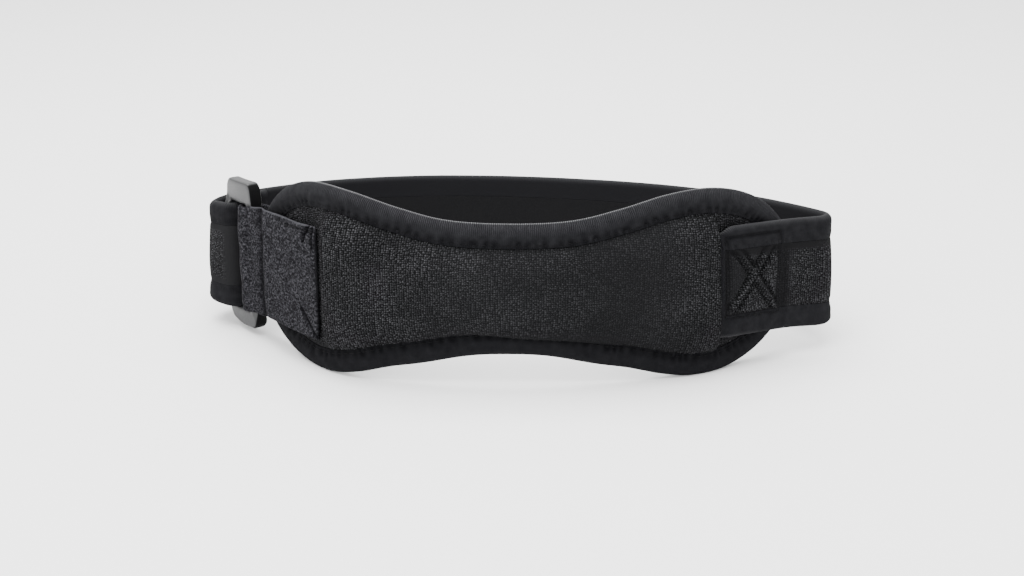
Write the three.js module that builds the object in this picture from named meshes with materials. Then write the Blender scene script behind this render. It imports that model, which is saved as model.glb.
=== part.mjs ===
import * as THREE from 'three';

// Patella strap closed in a loop. All sizes are millimetres.
// Each fabric piece is drawn flat, as it is cut (s along the band, z up, n out of the
// loop), and is then wrapped round a path in plan. The front faces -Y, +Z is up.

// Strap: a knit band with its edges bound in tape.
const strapHeight = 38.6;
const ringDrop = 0.8;
const tabDrop = 1;
const strapThickness = 3.2;
const strapBindWidth = 8;
const strapOverlap = 24;
const strapSewnEnd = 30;
const strapPadRadius = 71;
const strapOverRim = 18;
const strapLiftRun = 7;
const strapLiftTurn = 6;
const strapFreeRun = 9;
const cornerAllowance = 6;
const returnAllowance = 10;
const strapBackDrop = 2;
const strapLoopHeight = 40.5;
const strapPastRing = 1.6;
const tapeThickness = 0.7;
const tapeTuck = 0.9;

// Pad: a peanut outline, soft in the middle, with a bound rim.
const padLength = 202;
const padLobeHeight = 65;
const padShift = -4;
const padTaper = 0.012;
const padRimHalf = 1;
const padLevelRise = 0.9;
const padCrown = 5.5;
const padBackCrown = 2.4;
const padCrownReach = 13;
const padBindWidth = 8.2;
const puffClearOfTab = 7;
const puffFoot = 5;
const puffRise = 14;
const puffFall = 11;
const puffClearOfStrap = 2;

// Ring: a flat plastic ring with two upright bars and two end caps.
const ringWidth = 19;
const ringHeight = 52;
const ringThickness = 3.3;
const ringBarWidth = 3.6;
const ringCapHeight = 5.4;
const ringCornerRadius = 4.6;
const ringSlotRadius = 1.6;
const ringBevel = 0.7;
const ringEase = 1.6;
const ringFromPad = 11;

// Fastening tab: a folded strip of brushed loop cloth with a hook patch under it.
const tabHeight = 39.4;
const tabThickness = 2.2;
const tabFrontLap = 38;
const tabBackLap = 23;
const edgeStep = 0.8;
const hookThickness = 0.8;
const hookLength = 20;
const hookHeight = 30;
const hookFromTabEnd = 2;

// Clear space left between pieces that lie on each other.
const layGap = 0.3;

// The loop leans back until the strap's lower edge meets the surface behind the lobes.
const leftContact = { x: -67, y: 15.8 };
const rightContact = { x: 63, y: 8.6 };
const backContact = { x: -12, y: 104 };
const settlePress = 0.4;

// Plan of the front, from its middle outwards: length and turn of each run in degrees.
const frontRight = [
  { length: 52, turn: 13, steps: 6 },
  { length: 20, turn: 17, steps: 4 },
  { length: 40, turn: 0, steps: 4 },
];
const frontLeft = [
  { length: 50, turn: 14, steps: 6 },
  { length: 22, turn: 32, steps: 5 },
  { length: 60, turn: 0, steps: 4 },
];
const rightCornerRadius = 5.5;
const rightStrandHeading = 121;
const leftCornerRadius = 6;
const leftStrandHeading = 228;
const bridgeReach = { right: 95, left: 60 };

// Where the pieces lie along the front, counted from its middle.
const padLeftEnd = padLength / 2 - padShift;
const padRightEnd = padLength / 2 + padShift;
const strapStart = padRightEnd - strapSewnEnd;
const tabFrontEnd = padLeftEnd - tabFrontLap;
const tabBackEnd = padLeftEnd - tabBackLap;
const ringCentreAlong = padLeftEnd + ringFromPad;

// Edge of the pad: shares of half its length and of half its lobe height.
const padOutline = [
  { along: 0, up: 0.683 },
  { along: 0.2, up: 0.71 },
  { along: 0.36, up: 0.82 },
  { along: 0.51, up: 0.95 },
  { along: 0.64, up: 1 },
  { along: 0.755, up: 0.955 },
  { along: 0.86, up: 0.82 },
  { along: 0.944, up: 0.585 },
  { along: 0.99, up: 0.3 },
];

// How the strap hangs: shares of its length, of its drop behind and of its extra height.
const strapHang = [
  { at: 0, drop: -0.1, spread: 0 },
  { at: 0.14, drop: 0.2, spread: 0 },
  { at: 0.5, drop: 1, spread: 0 },
  { at: 0.76, drop: 0.85, spread: 0 },
  { at: 0.87, drop: 0.5, spread: 1 },
  { at: 1, drop: 0.5, spread: 1 },
];

// How far the pad's padding is left puffed, along its length.
const padPuff = [
  { at: -tabFrontEnd - puffClearOfTab, puff: 0 },
  { at: -tabFrontEnd + puffFoot, puff: 0.22 },
  { at: -tabFrontEnd + puffRise, puff: 1 },
  { at: strapStart - puffFall, puff: 1 },
  { at: strapStart - puffClearOfStrap, puff: 0 },
];

const radians = (degrees) => THREE.MathUtils.degToRad(degrees);

// A path in plan made of runs that turn evenly, and of bridges that join two headings.
function tracePath(start, runs) {
  const marks = [{ s: 0, x: start.x, y: start.y, heading: start.heading }];
  const stations = [0];
  for (const run of runs) {
    const from = marks[marks.length - 1];
    if (run.to) {
      const a = radians(from.heading);
      const b = radians(run.to.heading);
      const curve = new THREE.CubicBezierCurve(
        new THREE.Vector2(from.x, from.y),
        new THREE.Vector2(from.x + run.reach.right * Math.cos(a), from.y + run.reach.right * Math.sin(a)),
        new THREE.Vector2(run.to.x - run.reach.left * Math.cos(b), run.to.y - run.reach.left * Math.sin(b)),
        new THREE.Vector2(run.to.x, run.to.y),
      );
      const length = curve.getLength();
      for (let i = 1; i <= 400; i += 1) {
        const point = curve.getPointAt(i / 400);
        const slope = curve.getTangentAt(i / 400);
        const turned = THREE.MathUtils.radToDeg(Math.atan2(slope.y, slope.x));
        const heading = turned < 0 ? turned + 360 : turned;
        marks.push({ s: from.s + length * i / 400, x: point.x, y: point.y, heading });
      }
      for (let i = 1; i <= run.steps; i += 1) stations.push(from.s + length * i / run.steps);
      continue;
    }
    const fine = Math.max(run.steps, Math.ceil(run.length / 0.4));
    const part = run.length / fine;
    const bend = radians(run.turn) / fine;
    const chord = bend === 0 ? part : part * Math.sin(bend / 2) / (bend / 2);
    for (let i = 1; i <= fine; i += 1) {
      const last = marks[marks.length - 1];
      const middle = radians(last.heading) + bend / 2;
      marks.push({
        s: from.s + part * i,
        x: last.x + chord * Math.cos(middle),
        y: last.y + chord * Math.sin(middle),
        heading: from.heading + run.turn * i / fine,
      });
    }
    for (let i = 1; i <= run.steps; i += 1) stations.push(from.s + run.length * i / run.steps);
  }
  return { marks, stations, length: marks[marks.length - 1].s };
}

// Place and heading at a length along a path; past its ends it runs on straight.
function along(path, s) {
  const { marks } = path;
  let low = 0;
  let high = marks.length - 1;
  while (high - low > 1) {
    const middle = (low + high) >> 1;
    if (marks[middle].s <= s) low = middle;
    else high = middle;
  }
  const a = marks[low];
  const b = marks[high];
  if (s < a.s || s > b.s) {
    const end = s < a.s ? a : b;
    const over = s - end.s;
    const heading = radians(end.heading);
    return { x: end.x + over * Math.cos(heading), y: end.y + over * Math.sin(heading), heading: end.heading };
  }
  const share = (s - a.s) / (b.s - a.s);
  return {
    x: a.x + (b.x - a.x) * share,
    y: a.y + (b.y - a.y) * share,
    heading: a.heading + (b.heading - a.heading) * share,
  };
}

// A point on the outer side of a path, n away from it.
function beside(mark, n) {
  const heading = radians(mark.heading);
  return { x: mark.x + n * Math.sin(heading), y: mark.y - n * Math.cos(heading), heading: mark.heading };
}

const rightFront = tracePath({ x: 0, y: 0, heading: 0 }, frontRight);
const leftFront = tracePath(
  { x: 0, y: 0, heading: 180 },
  frontLeft.map((run) => ({ ...run, turn: -run.turn })),
);

// The front's plan: s counts from the middle, and is negative to the left.
function frontMark(s) {
  if (s >= 0) return along(rightFront, s);
  const mark = along(leftFront, -s);
  return { ...mark, heading: mark.heading - 180 };
}

// The surface, as a plane in the leaning loop's own frame, just above its lowest points.
const lobeZ = (side) => -padLobeHeight / 2 * (1 - side * padTaper * 0.64) + settlePress;
const surface = new THREE.Plane().setFromCoplanarPoints(
  new THREE.Vector3(leftContact.x, leftContact.y, lobeZ(-1)),
  new THREE.Vector3(rightContact.x, rightContact.y, lobeZ(1)),
  new THREE.Vector3(backContact.x, backContact.y, -strapBackDrop - strapHeight / 2 + settlePress),
);

// Cloth that would reach below the surface is pressed flat on it.
function settle(point) {
  return surface.distanceToPoint(point) < 0 ? surface.projectPoint(point, new THREE.Vector3()) : point;
}

function wrapFront(s, n, z) {
  const place = beside(frontMark(s), n);
  return settle(new THREE.Vector3(place.x, place.y, z));
}

// Wraps onto a path; hang gives how far the piece spreads and drops at each place.
function wrapAlong(path, hang) {
  return (s, n, z) => {
    const place = beside(along(path, s), n);
    const { spread, drop } = hang(s);
    return settle(new THREE.Vector3(place.x, place.y, z * spread - drop));
  };
}

// One closed mesh from points and triangles, turned to face outwards.
function closedMesh(points, faces, finish) {
  let volume = 0;
  for (const [a, b, c] of faces) volume += points[a].dot(points[b].clone().cross(points[c]));
  const geometry = new THREE.BufferGeometry();
  const numbers = points.flatMap((p) => [p.x, p.y, p.z]);
  geometry.setAttribute('position', new THREE.Float32BufferAttribute(numbers, 3));
  geometry.setIndex(faces.flatMap(([a, b, c]) => (volume > 0 ? [a, b, c] : [a, c, b])));
  geometry.computeVertexNormals();
  return new THREE.Mesh(geometry, new THREE.MeshStandardMaterial(finish));
}

function addBand(faces, first, second, count, closed = true) {
  for (let i = 0; i < (closed ? count : count - 1); i += 1) {
    const next = (i + 1) % count;
    faces.push([first + i, second + i, second + next]);
    faces.push([first + i, second + next, first + next]);
  }
}

// A section carried along a list of frames; open runs get end caps.
function sweep(rings, section, closed, finish) {
  const count = section.length;
  const points = rings.flat();
  const faces = [];
  for (let i = 0; i < rings.length - (closed ? 0 : 1); i += 1) {
    addBand(faces, i * count, ((i + 1) % rings.length) * count, count);
  }
  if (!closed) {
    const cap = THREE.ShapeUtils.triangulateShape(section, []);
    const last = (rings.length - 1) * count;
    const turned = THREE.ShapeUtils.isClockWise(section);
    for (const [a, b, c] of cap) {
      faces.push(turned ? [a, c, b] : [a, b, c]);
      faces.push(turned ? [last + a, last + b, last + c] : [last + a, last + c, last + b]);
    }
  }
  return closedMesh(points, faces, finish);
}

// Folded tape round an edge: x is the distance in from the edge, y is out of the loop.
function tapeSection(width, half) {
  const inner = half - tapeThickness;
  return [
    [width, half], [width * 0.35, half], [half * 0.3, half * 0.85], [0, half * 0.4],
    [0, -half * 0.4], [half * 0.3, -half * 0.85], [width * 0.35, -half], [width, -half],
    [width, -inner], [tapeTuck, -inner], [tapeTuck, inner], [width, inner],
  ].map(([x, y]) => new THREE.Vector2(x, y));
}

// The edge's inward direction at each of its points, stretched at sharp corners.
function inwardAt(edge, index, closed) {
  const count = edge.length;
  const before = closed || index > 0 ? edge[(index + count - 1) % count] : null;
  const after = closed || index < count - 1 ? edge[(index + 1) % count] : null;
  const here = edge[index];
  const normal = (a, b) => new THREE.Vector2(-(b.y - a.y), b.x - a.x).normalize();
  if (!before) return normal(here, after);
  if (!after) return normal(before, here);
  const sum = normal(before, here).add(normal(here, after));
  return sum.multiplyScalar(2 / sum.lengthSq());
}

function bindEdge(edge, closed, width, half, wrap, finish) {
  const section = tapeSection(width, half);
  const rings = edge.map((point, index) => {
    const inward = inwardAt(edge, index, closed);
    return section.map(({ x, y }) => wrap(point.x + inward.x * x, y, point.y + inward.y * x));
  });
  return sweep(rings, section, closed, finish);
}

const knit = { color: 0x2b2b2e, roughness: 0.95, metalness: 0 };
const tape = { color: 0x1d1d20, roughness: 0.85, metalness: 0 };
const band = { color: 0x242427, roughness: 0.9, metalness: 0 };
const brushed = { color: 0x35353b, roughness: 1, metalness: 0 };
const hook = { color: 0x161618, roughness: 0.8, metalness: 0 };
const plastic = { color: 0x6e6f70, roughness: 0.45, metalness: 0 };

// The pad's edge runs counter-clockwise from its right-hand tip, seen from outside.
function padEdge(between) {
  const quarter = [{ along: 1, up: 0 }, ...[...padOutline].reverse()];
  const corners = [
    ...quarter,
    ...quarter.slice(0, -1).reverse().map(({ along: a, up }) => ({ along: -a, up })),
    ...quarter.slice(1).map(({ along: a, up }) => ({ along: -a, up: -up })),
    ...quarter.slice(1, -1).reverse().map(({ along: a, up }) => ({ along: a, up: -up })),
  ];
  const count = corners.length;
  const edge = [];
  for (let i = 0; i < count; i += 1) {
    const [p, q, r, t] = [count - 1, 0, 1, 2].map((step) => corners[(i + step) % count]);
    for (let k = 0; k < between; k += 1) {
      const f = k / between;
      const blend = (a, b, c, d) => 0.5 * (2 * b + (c - a) * f
        + (2 * a - 5 * b + 4 * c - d) * f * f + (3 * b - a - 3 * c + d) * f * f * f);
      edge.push(new THREE.Vector2(
        blend(p.along, q.along, r.along, t.along) * padLength / 2,
        blend(p.up, q.up, r.up, t.up) * padLobeHeight / 2,
      ));
      const point = edge[edge.length - 1];
      point.y *= 1 - padTaper * point.x / (padLength / 2);
    }
  }
  return edge;
}

function puffAt(s) {
  if (s <= padPuff[0].at) return padPuff[0].puff;
  for (let i = 1; i < padPuff.length; i += 1) {
    const [a, b] = [padPuff[i - 1], padPuff[i]];
    if (s <= b.at) return a.puff + (b.puff - a.puff) * THREE.MathUtils.smoothstep(s, a.at, b.at);
  }
  return padPuff[padPuff.length - 1].puff;
}

// Height of the padding at a distance in from the edge, front (+1) or back (-1).
function padHeight(s, inset, side) {
  const share = THREE.MathUtils.clamp((inset - padBindWidth - layGap) / padCrownReach, 0, 1);
  const level = padLevelRise * THREE.MathUtils.clamp((inset - padBindWidth - layGap) / edgeStep, 0, 1);
  const crown = side > 0 ? padCrown : padBackCrown;
  return padRimHalf + level + crown * puffAt(s) * (1 - (1 - share) ** 2.4);
}

function makePad() {
  const edge = padEdge(2);
  const count = edge.length;
  const rimInset = tapeTuck + layGap;
  const seam = padBindWidth + layGap;
  const crownInsets = [0.18, 0.39, 0.67].map((share) => seam + share * padCrownReach);
  const insets = [rimInset, seam, seam + edgeStep, ...crownInsets];
  const rows = 4;
  const points = [];
  const faces = [];
  const ringAt = {};
  const place = (s, z, inset, side) => {
    const height = padHeight(s + padShift, inset, side);
    return wrapFront(s + padShift, side * height, z);
  };
  for (const side of [1, -1]) {
    insets.forEach((inset, level) => {
      ringAt[`${side}:${level}`] = points.length;
      edge.forEach((point, index) => {
        const inward = inwardAt(edge, index, true);
        points.push(place(point.x + inward.x * inset, point.y + inward.y * inset, inset, side));
      });
      if (level > 0) {
        const before = ringAt[`${side}:${level - 1}`];
        const here = ringAt[`${side}:${level}`];
        addBand(faces, ...(side > 0 ? [before, here] : [here, before]), count);
      }
    });
    // The middle is filled by columns between the upper and lower edge.
    const inner = insets.length - 1;
    const half = count / 2;
    const columns = [];
    for (let i = 0; i <= half; i += 1) {
      const upper = i;
      const lower = (count - i) % count;
      const column = [ringAt[`${side}:${inner}`] + upper];
      if (i > 0 && i < half) {
        const inward = inwardAt(edge, upper, true);
        const s = edge[upper].x + inward.x * insets[inner];
        const top = edge[upper].y + inward.y * insets[inner];
        for (let row = 1; row < rows; row += 1) {
          const z = top * (1 - 2 * row / rows);
          column.push(points.length);
          points.push(place(s, z, insets[inner] + top - Math.abs(z), side));
        }
        column.push(ringAt[`${side}:${inner}`] + lower);
      }
      columns.push(column);
    }
    for (let i = 0; i < half; i += 1) {
      const a = columns[i];
      const b = columns[i + 1];
      for (let row = 0; row < rows; row += 1) {
        const [a0, a1] = [a[Math.min(row, a.length - 1)], a[Math.min(row + 1, a.length - 1)]];
        const [b0, b1] = [b[Math.min(row, b.length - 1)], b[Math.min(row + 1, b.length - 1)]];
        const quad = side > 0 ? [[a0, b1, b0], [a0, a1, b1]] : [[a0, b0, b1], [a0, b1, a1]];
        for (const face of quad) if (new Set(face).size === 3) faces.push(face);
      }
    }
  }
  addBand(faces, ringAt['-1:0'], ringAt['1:0'], count);
  return closedMesh(points, faces, knit);
}

function makePadBinding() {
  const half = padRimHalf + layGap + tapeThickness;
  return bindEdge(
    padEdge(3), true, padBindWidth, half,
    (s, n, z) => wrapFront(s + padShift, n, z), tape,
  );
}

// Layers at the left end: the ring lies in line with the pad between the tab's legs.
const padBindHalf = padRimHalf + layGap + tapeThickness;
const hookMiddle = padBindHalf + layGap + hookThickness / 2;
const tabFrontMiddle = padBindHalf + 2 * layGap + hookThickness + tabThickness / 2;
const tabBackMiddle = -(padBindHalf + layGap + tabThickness / 2);
const ringMiddle = (tabFrontMiddle + tabBackMiddle) / 2;
const tabTurnRadius = (tabFrontMiddle - tabBackMiddle) / 2;
const strapHalf = strapThickness / 2;
const strapTurnRadius = ringThickness / 2 + layGap + strapHalf;
const barFromRingCentre = ringWidth / 2 - ringBarWidth / 2 - ringEase;
const leftHeading = frontMark(-ringCentreAlong).heading;

// The strap: from the pad's right end, round the back, over the ring's outer bar and in.
function makeStrapPath() {
  const start = beside(frontMark(strapStart), padBindHalf + layGap + strapHalf);
  const bar = frontMark(-(ringCentreAlong + barFromRingCentre));
  const outer = beside(bar, ringMiddle + strapTurnRadius);
  const turn = leftHeading + 360 - leftStrandHeading;
  const cornerRun = ringWidth / 2 + strapPastRing - barFromRingCentre;
  // Walk back from the bar to where the corner and its straight lead-in begin.
  const back = tracePath({ x: outer.x, y: outer.y, heading: leftHeading + 180 }, [
    { length: cornerRun, turn: 0, steps: 1 },
    { length: leftCornerRadius * radians(turn), turn: -turn, steps: 4 },
    { length: strapOverlap - cornerAllowance, turn: 0, steps: 1 },
  ]);
  const join = along(back, back.length);
  const layer = strapThickness + layGap;
  const inset = (layer - 2 * strapTurnRadius * Math.cos(radians(turn))) / Math.sin(radians(turn));
  const innerRadius = leftCornerRadius - layer;
  const tangent = (radius) => radius * Math.tan(radians(turn) / 2);
  const returnRun = cornerRun + tangent(leftCornerRadius) - inset - tangent(innerRadius);
  const endHeading = frontMark(padRightEnd).heading;
  const padTurn = endHeading - start.heading;
  const rightTurn = rightStrandHeading - endHeading + strapLiftTurn;
  return tracePath(start, [
    { length: strapPadRadius * radians(padTurn), turn: padTurn, steps: 1 },
    { length: strapOverRim, turn: 0, steps: 2 },
    { length: strapLiftRun, turn: -strapLiftTurn, steps: 2 },
    { length: strapFreeRun, turn: 0, steps: 1 },
    { length: rightCornerRadius * radians(rightTurn), turn: rightTurn, steps: 10 },
    { to: { x: join.x, y: join.y, heading: leftStrandHeading }, reach: bridgeReach, steps: 26 },
    { length: strapOverlap - cornerAllowance, turn: 0, steps: 3 },
    { length: leftCornerRadius * radians(turn), turn, steps: 7 },
    { length: cornerRun, turn: 0, steps: 2 },
    { length: strapTurnRadius * Math.PI, turn: 180, steps: 10 },
    { length: returnRun, turn: 0, steps: 2 },
    { length: innerRadius * radians(turn), turn: -turn, steps: 6 },
    { length: strapOverlap - returnAllowance, turn: 0, steps: 3 },
  ]);
}

const strapPath = makeStrapPath();
const wrapStrap = wrapAlong(strapPath, (s) => {
  const share = THREE.MathUtils.clamp(s / strapPath.length, 0, 1);
  const next = Math.max(1, strapHang.findIndex(({ at }) => at >= share));
  const [a, b] = [strapHang[next - 1], strapHang[next]];
  const f = THREE.MathUtils.smoothstep(share, a.at, b.at);
  return {
    spread: 1 + (strapLoopHeight / strapHeight - 1) * (a.spread + (b.spread - a.spread) * f),
    drop: strapBackDrop * (a.drop + (b.drop - a.drop) * f),
  };
});

function makeStrap() {
  const channel = strapHalf - tapeThickness - layGap;
  const top = strapHeight / 2 - tapeTuck - layGap;
  const bindInner = strapHeight / 2 - strapBindWidth - layGap;
  const faceInner = bindInner - edgeStep;
  const face = strapHalf * 0.94;
  const section = [
    [top, channel], [bindInner, channel], [faceInner, face], [-faceInner, face],
    [-bindInner, channel], [-top, channel], [-top, -channel], [-bindInner, -channel],
    [-faceInner, -face], [faceInner, -face], [bindInner, -channel], [top, -channel],
  ].map(([x, y]) => new THREE.Vector2(x, y));
  const first = tapeTuck + layGap;
  const beyond = strapPath.stations.filter((s) => s > strapBindWidth + edgeStep);
  const stations = [first, strapBindWidth + layGap, ...beyond];
  const rings = stations.map((s) => section.map(({ x, y }) => {
    const thin = s <= strapBindWidth + layGap && Math.abs(y) > channel ? Math.sign(y) * channel : y;
    return wrapStrap(s, thin, x);
  }));
  return sweep(rings, section, false, band);
}

function makeStrapBinding() {
  const top = strapHeight / 2;
  const last = strapPath.length;
  const inside = strapPath.stations.filter((s) => s > strapBindWidth + edgeStep && s < last - layGap);
  const edge = [
    ...[last, ...inside.slice().reverse(), strapBindWidth + layGap].map((s) => [s, top]),
    [0, top],
    [0, 0],
    [0, -top],
    ...[strapBindWidth + layGap, ...inside, last].map((s) => [s, -top]),
  ].map(([x, y]) => new THREE.Vector2(x, y));
  return bindEdge(edge, false, strapBindWidth, strapHalf, wrapStrap, tape);
}

function makeTab() {
  const start = beside(frontMark(-tabBackEnd), tabBackMiddle);
  const toBar = ringCentreAlong - barFromRingCentre - tabBackEnd;
  const path = tracePath({ x: start.x, y: start.y, heading: leftHeading + 180 }, [
    { length: toBar, turn: 0, steps: 3 },
    { length: tabTurnRadius * Math.PI, turn: 180, steps: 12 },
    { length: ringCentreAlong - barFromRingCentre - tabFrontEnd, turn: 0, steps: 5 },
  ]);
  const wrap = wrapAlong(path, () => ({ spread: 1, drop: tabDrop }));
  const half = tabThickness / 2;
  const top = tabHeight / 2;
  const section = [
    [top, -half * 0.5], [top, half * 0.5], [top - edgeStep, half], [-top + edgeStep, half],
    [-top, half * 0.5], [-top, -half * 0.5], [-top + edgeStep, -half], [top - edgeStep, -half],
  ].map(([x, y]) => new THREE.Vector2(x, y));
  const rings = path.stations.map((s) => section.map(({ x, y }) => wrap(s, y, x)));
  return sweep(rings, section, false, brushed);
}

// Hidden hook patch that holds the tab's front leg on the pad.
function makeHookPatch() {
  const patch = new THREE.Mesh(
    new THREE.BoxGeometry(hookLength, hookThickness, hookHeight),
    new THREE.MeshStandardMaterial(hook),
  );
  const place = beside(frontMark(-(tabFrontEnd + hookFromTabEnd + hookLength / 2)), hookMiddle);
  patch.position.set(place.x, place.y, -tabDrop);
  patch.rotation.z = radians(leftHeading);
  return patch;
}

function roundedPath(target, width, height, radius) {
  const [x, y] = [width / 2, height / 2];
  target.moveTo(x - radius, y);
  target.absarc(-x + radius, y - radius, radius, Math.PI / 2, Math.PI, false);
  target.absarc(-x + radius, -y + radius, radius, Math.PI, Math.PI * 1.5, false);
  target.absarc(x - radius, -y + radius, radius, Math.PI * 1.5, Math.PI * 2, false);
  target.absarc(x - radius, y - radius, radius, 0, Math.PI / 2, false);
  return target;
}

function makeRing() {
  const grown = 2 * ringBevel;
  const shape = roundedPath(
    new THREE.Shape(), ringWidth - grown, ringHeight - grown, ringCornerRadius - ringBevel,
  );
  shape.holes.push(roundedPath(
    new THREE.Path(),
    ringWidth - 2 * ringBarWidth + grown, ringHeight - 2 * ringCapHeight + grown, ringSlotRadius + ringBevel,
  ));
  const geometry = new THREE.ExtrudeGeometry(shape, {
    depth: ringThickness - grown,
    bevelThickness: ringBevel,
    bevelSize: ringBevel,
    bevelSegments: 2,
    curveSegments: 5,
  });
  geometry.translate(0, 0, -(ringThickness - grown) / 2);
  geometry.rotateX(Math.PI / 2);
  const ring = new THREE.Mesh(geometry, new THREE.MeshStandardMaterial(plastic));
  const place = beside(frontMark(-ringCentreAlong), ringMiddle);
  ring.position.set(place.x, place.y, -ringDrop);
  ring.rotation.z = radians(leftHeading);
  return ring;
}

const loop = new THREE.Group();
loop.name = 'loop';
const pieces = {
  pad: makePad(),
  pad_binding: makePadBinding(),
  strap: makeStrap(),
  strap_binding: makeStrapBinding(),
  fastening_tab: makeTab(),
  hook_patch: makeHookPatch(),
  ring: makeRing(),
};
for (const [name, piece] of Object.entries(pieces)) {
  piece.name = name;
  loop.add(piece);
}

// Lean the loop back on its surface and put the frame's origin under its middle.
loop.quaternion.setFromUnitVectors(surface.normal, new THREE.Vector3(0, 0, 1));
loop.position.z = surface.constant;
const middle = new THREE.Box3().setFromObject(loop, true).getCenter(new THREE.Vector3());
loop.position.x = -middle.x;
loop.position.y = -middle.y;

const group = new THREE.Group();
group.name = 'patella_strap';
group.add(loop);

export default group;
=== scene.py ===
import math

import bmesh
import bpy
import numpy as np
from mathutils import Matrix, Vector


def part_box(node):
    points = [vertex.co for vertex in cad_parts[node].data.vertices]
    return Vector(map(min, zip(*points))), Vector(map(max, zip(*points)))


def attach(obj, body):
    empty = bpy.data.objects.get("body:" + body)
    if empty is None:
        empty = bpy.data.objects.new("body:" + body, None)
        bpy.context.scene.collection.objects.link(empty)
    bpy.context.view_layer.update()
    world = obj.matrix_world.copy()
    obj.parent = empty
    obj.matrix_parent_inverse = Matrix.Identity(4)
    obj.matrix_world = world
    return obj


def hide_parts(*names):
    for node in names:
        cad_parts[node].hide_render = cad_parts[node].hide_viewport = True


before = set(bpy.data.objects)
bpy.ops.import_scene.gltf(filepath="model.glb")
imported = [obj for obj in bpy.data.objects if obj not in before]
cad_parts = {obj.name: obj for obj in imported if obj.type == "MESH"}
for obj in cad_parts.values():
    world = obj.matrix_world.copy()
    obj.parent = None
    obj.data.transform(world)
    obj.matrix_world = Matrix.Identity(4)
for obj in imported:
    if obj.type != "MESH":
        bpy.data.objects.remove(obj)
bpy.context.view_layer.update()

# Plan and lean of the loop.
# Each cloth piece is cut flat, with s along the band, n out of the loop and z up, and is
# then wrapped round a path in plan. The closed loop leans back on its lower edge behind.
LEFT_CONTACT = (-0.067, 0.0158)
RIGHT_CONTACT = (0.063, 0.0086)
BACK_CONTACT = (-0.012, 0.104)
SETTLE_PRESS = 0.0004
LAY_GAP = 0.0003
PATH_STEP = 0.0002
PAD_LENGTH = 0.202
PAD_LOBE_HEIGHT = 0.065
PAD_LOBE_PLACE = 0.64
PAD_SHIFT = -0.004
PAD_TAPER = 0.012
PAD_RIM_HALF = 0.001
STRAP_HEIGHT = 0.0386
STRAP_BACK_DROP = 0.002
TAPE_THICKNESS = 0.0007
TAB_DROP = 0.001
TAB_FRONT_LAP = 0.038
HOOK_THICKNESS = 0.0008
HOOK_LENGTH = 0.020
HOOK_FROM_TAB_END = 0.002
# Runs of the front path outwards from its middle: length, turn in degrees.
FRONT_RIGHT = [(0.052, 13), (0.020, 17), (0.040, 0)]
FRONT_LEFT = [(0.050, 14), (0.022, 32), (0.060, 0)]

pad_left_end = PAD_LENGTH / 2 - PAD_SHIFT
tab_front_end = pad_left_end - TAB_FRONT_LAP
pad_bind_half = PAD_RIM_HALF + LAY_GAP + TAPE_THICKNESS


def trace_path(x, y, heading, runs):
    """Rows of length, x, y and heading in degrees along runs of (length, turn)."""
    rows = [(0.0, x, y, heading)]
    for length, turn in runs:
        count = max(2, round(length / PATH_STEP))
        for _ in range(count):
            s, x, y, heading = rows[-1]
            middle = math.radians(heading + turn / count / 2)
            x += length / count * math.cos(middle)
            y += length / count * math.sin(middle)
            rows.append((s + length / count, x, y, heading + turn / count))
    return np.array(rows)


def beside(path, s, n):
    """Plan points n outside the path; past its ends the path runs on straight."""
    s = np.asarray(s, float)
    inside = np.clip(s, path[0, 0], path[-1, 0])
    x, y, heading = (np.interp(inside, path[:, 0], path[:, k]) for k in (1, 2, 3))
    a = np.radians(heading)
    ahead = s - inside
    return x + ahead * np.cos(a) + n * np.sin(a), y + ahead * np.sin(a) - n * np.cos(a), heading


def lobe_level(side):
    """Height of the lower edge of the pad's left (-1) or right (1) lobe."""
    return -PAD_LOBE_HEIGHT / 2 * (1 - side * PAD_TAPER * PAD_LOBE_PLACE) + SETTLE_PRESS


left_path = trace_path(0, 0, 180, [(length, -turn) for length, turn in FRONT_LEFT])
left_path[:, 0] *= -1
left_path[:, 3] -= 180
front_path = np.vstack([left_path[:0:-1], trace_path(0, 0, 0, FRONT_RIGHT)])

contacts = [
    Vector((*LEFT_CONTACT, lobe_level(-1))),
    Vector((*RIGHT_CONTACT, lobe_level(1))),
    Vector((*BACK_CONTACT, -STRAP_BACK_DROP - STRAP_HEIGHT / 2 + SETTLE_PRESS)),
]
table_normal = (contacts[1] - contacts[0]).cross(contacts[2] - contacts[0]).normalized()
lean = np.array(table_normal.rotation_difference(Vector((0, 0, 1))).to_matrix())

# The loop is placed by the hook patch, whose plain solid stays where it is.
hook_middle = pad_bind_half + LAY_GAP + HOOK_THICKNESS / 2
hook_along = -(tab_front_end + HOOK_FROM_TAB_END + HOOK_LENGTH / 2)
hook_x, hook_y, _ = beside(front_path, hook_along, hook_middle)
hook_low, hook_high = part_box("hook_patch")
loop_offset = np.array((hook_low + hook_high) / 2) - lean @ np.array([hook_x, hook_y, -TAB_DROP])

# Pad.
# A peanut of foam between two knit covers, thick in the middle and thin at its rim, where
# the covers are sewn together. It is flat where the strap's end and the tab lie on it.
PAD_BIND_WIDTH = 0.0082
PAD_CROWN = 0.0055
PAD_BACK_CROWN = 0.0024
PAD_CROWN_REACH = 0.013
PAD_LEVEL_RISE = 0.0009
PAD_RISE_RUN = 0.0004
PAD_SPINE_SHARE = 0.68
PAD_EDGE_POINTS = 560
PAD_CURVE_STEPS = 24
PAD_INNER_LEVELS = 24
PAD_UPPER_OVERHANG = 0.001
PAD_LOWER_OVERHANG = 0.0014
PAD_SAG = 0.0024
PAD_SWELL_FROM = 0.0003
PAD_SWELL_FULL = 0.0015
PAD_SWELL_FADE = 0.008
PAD_TIP_REACH = 0.0018
PAD_LOWER_FILL = 0.0014
PAD_CLIFF_LEAN = 0.0024
PAD_CLIFF_RUN = 0.002
PAD_CREASE_DEPTH = 0.0011
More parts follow.
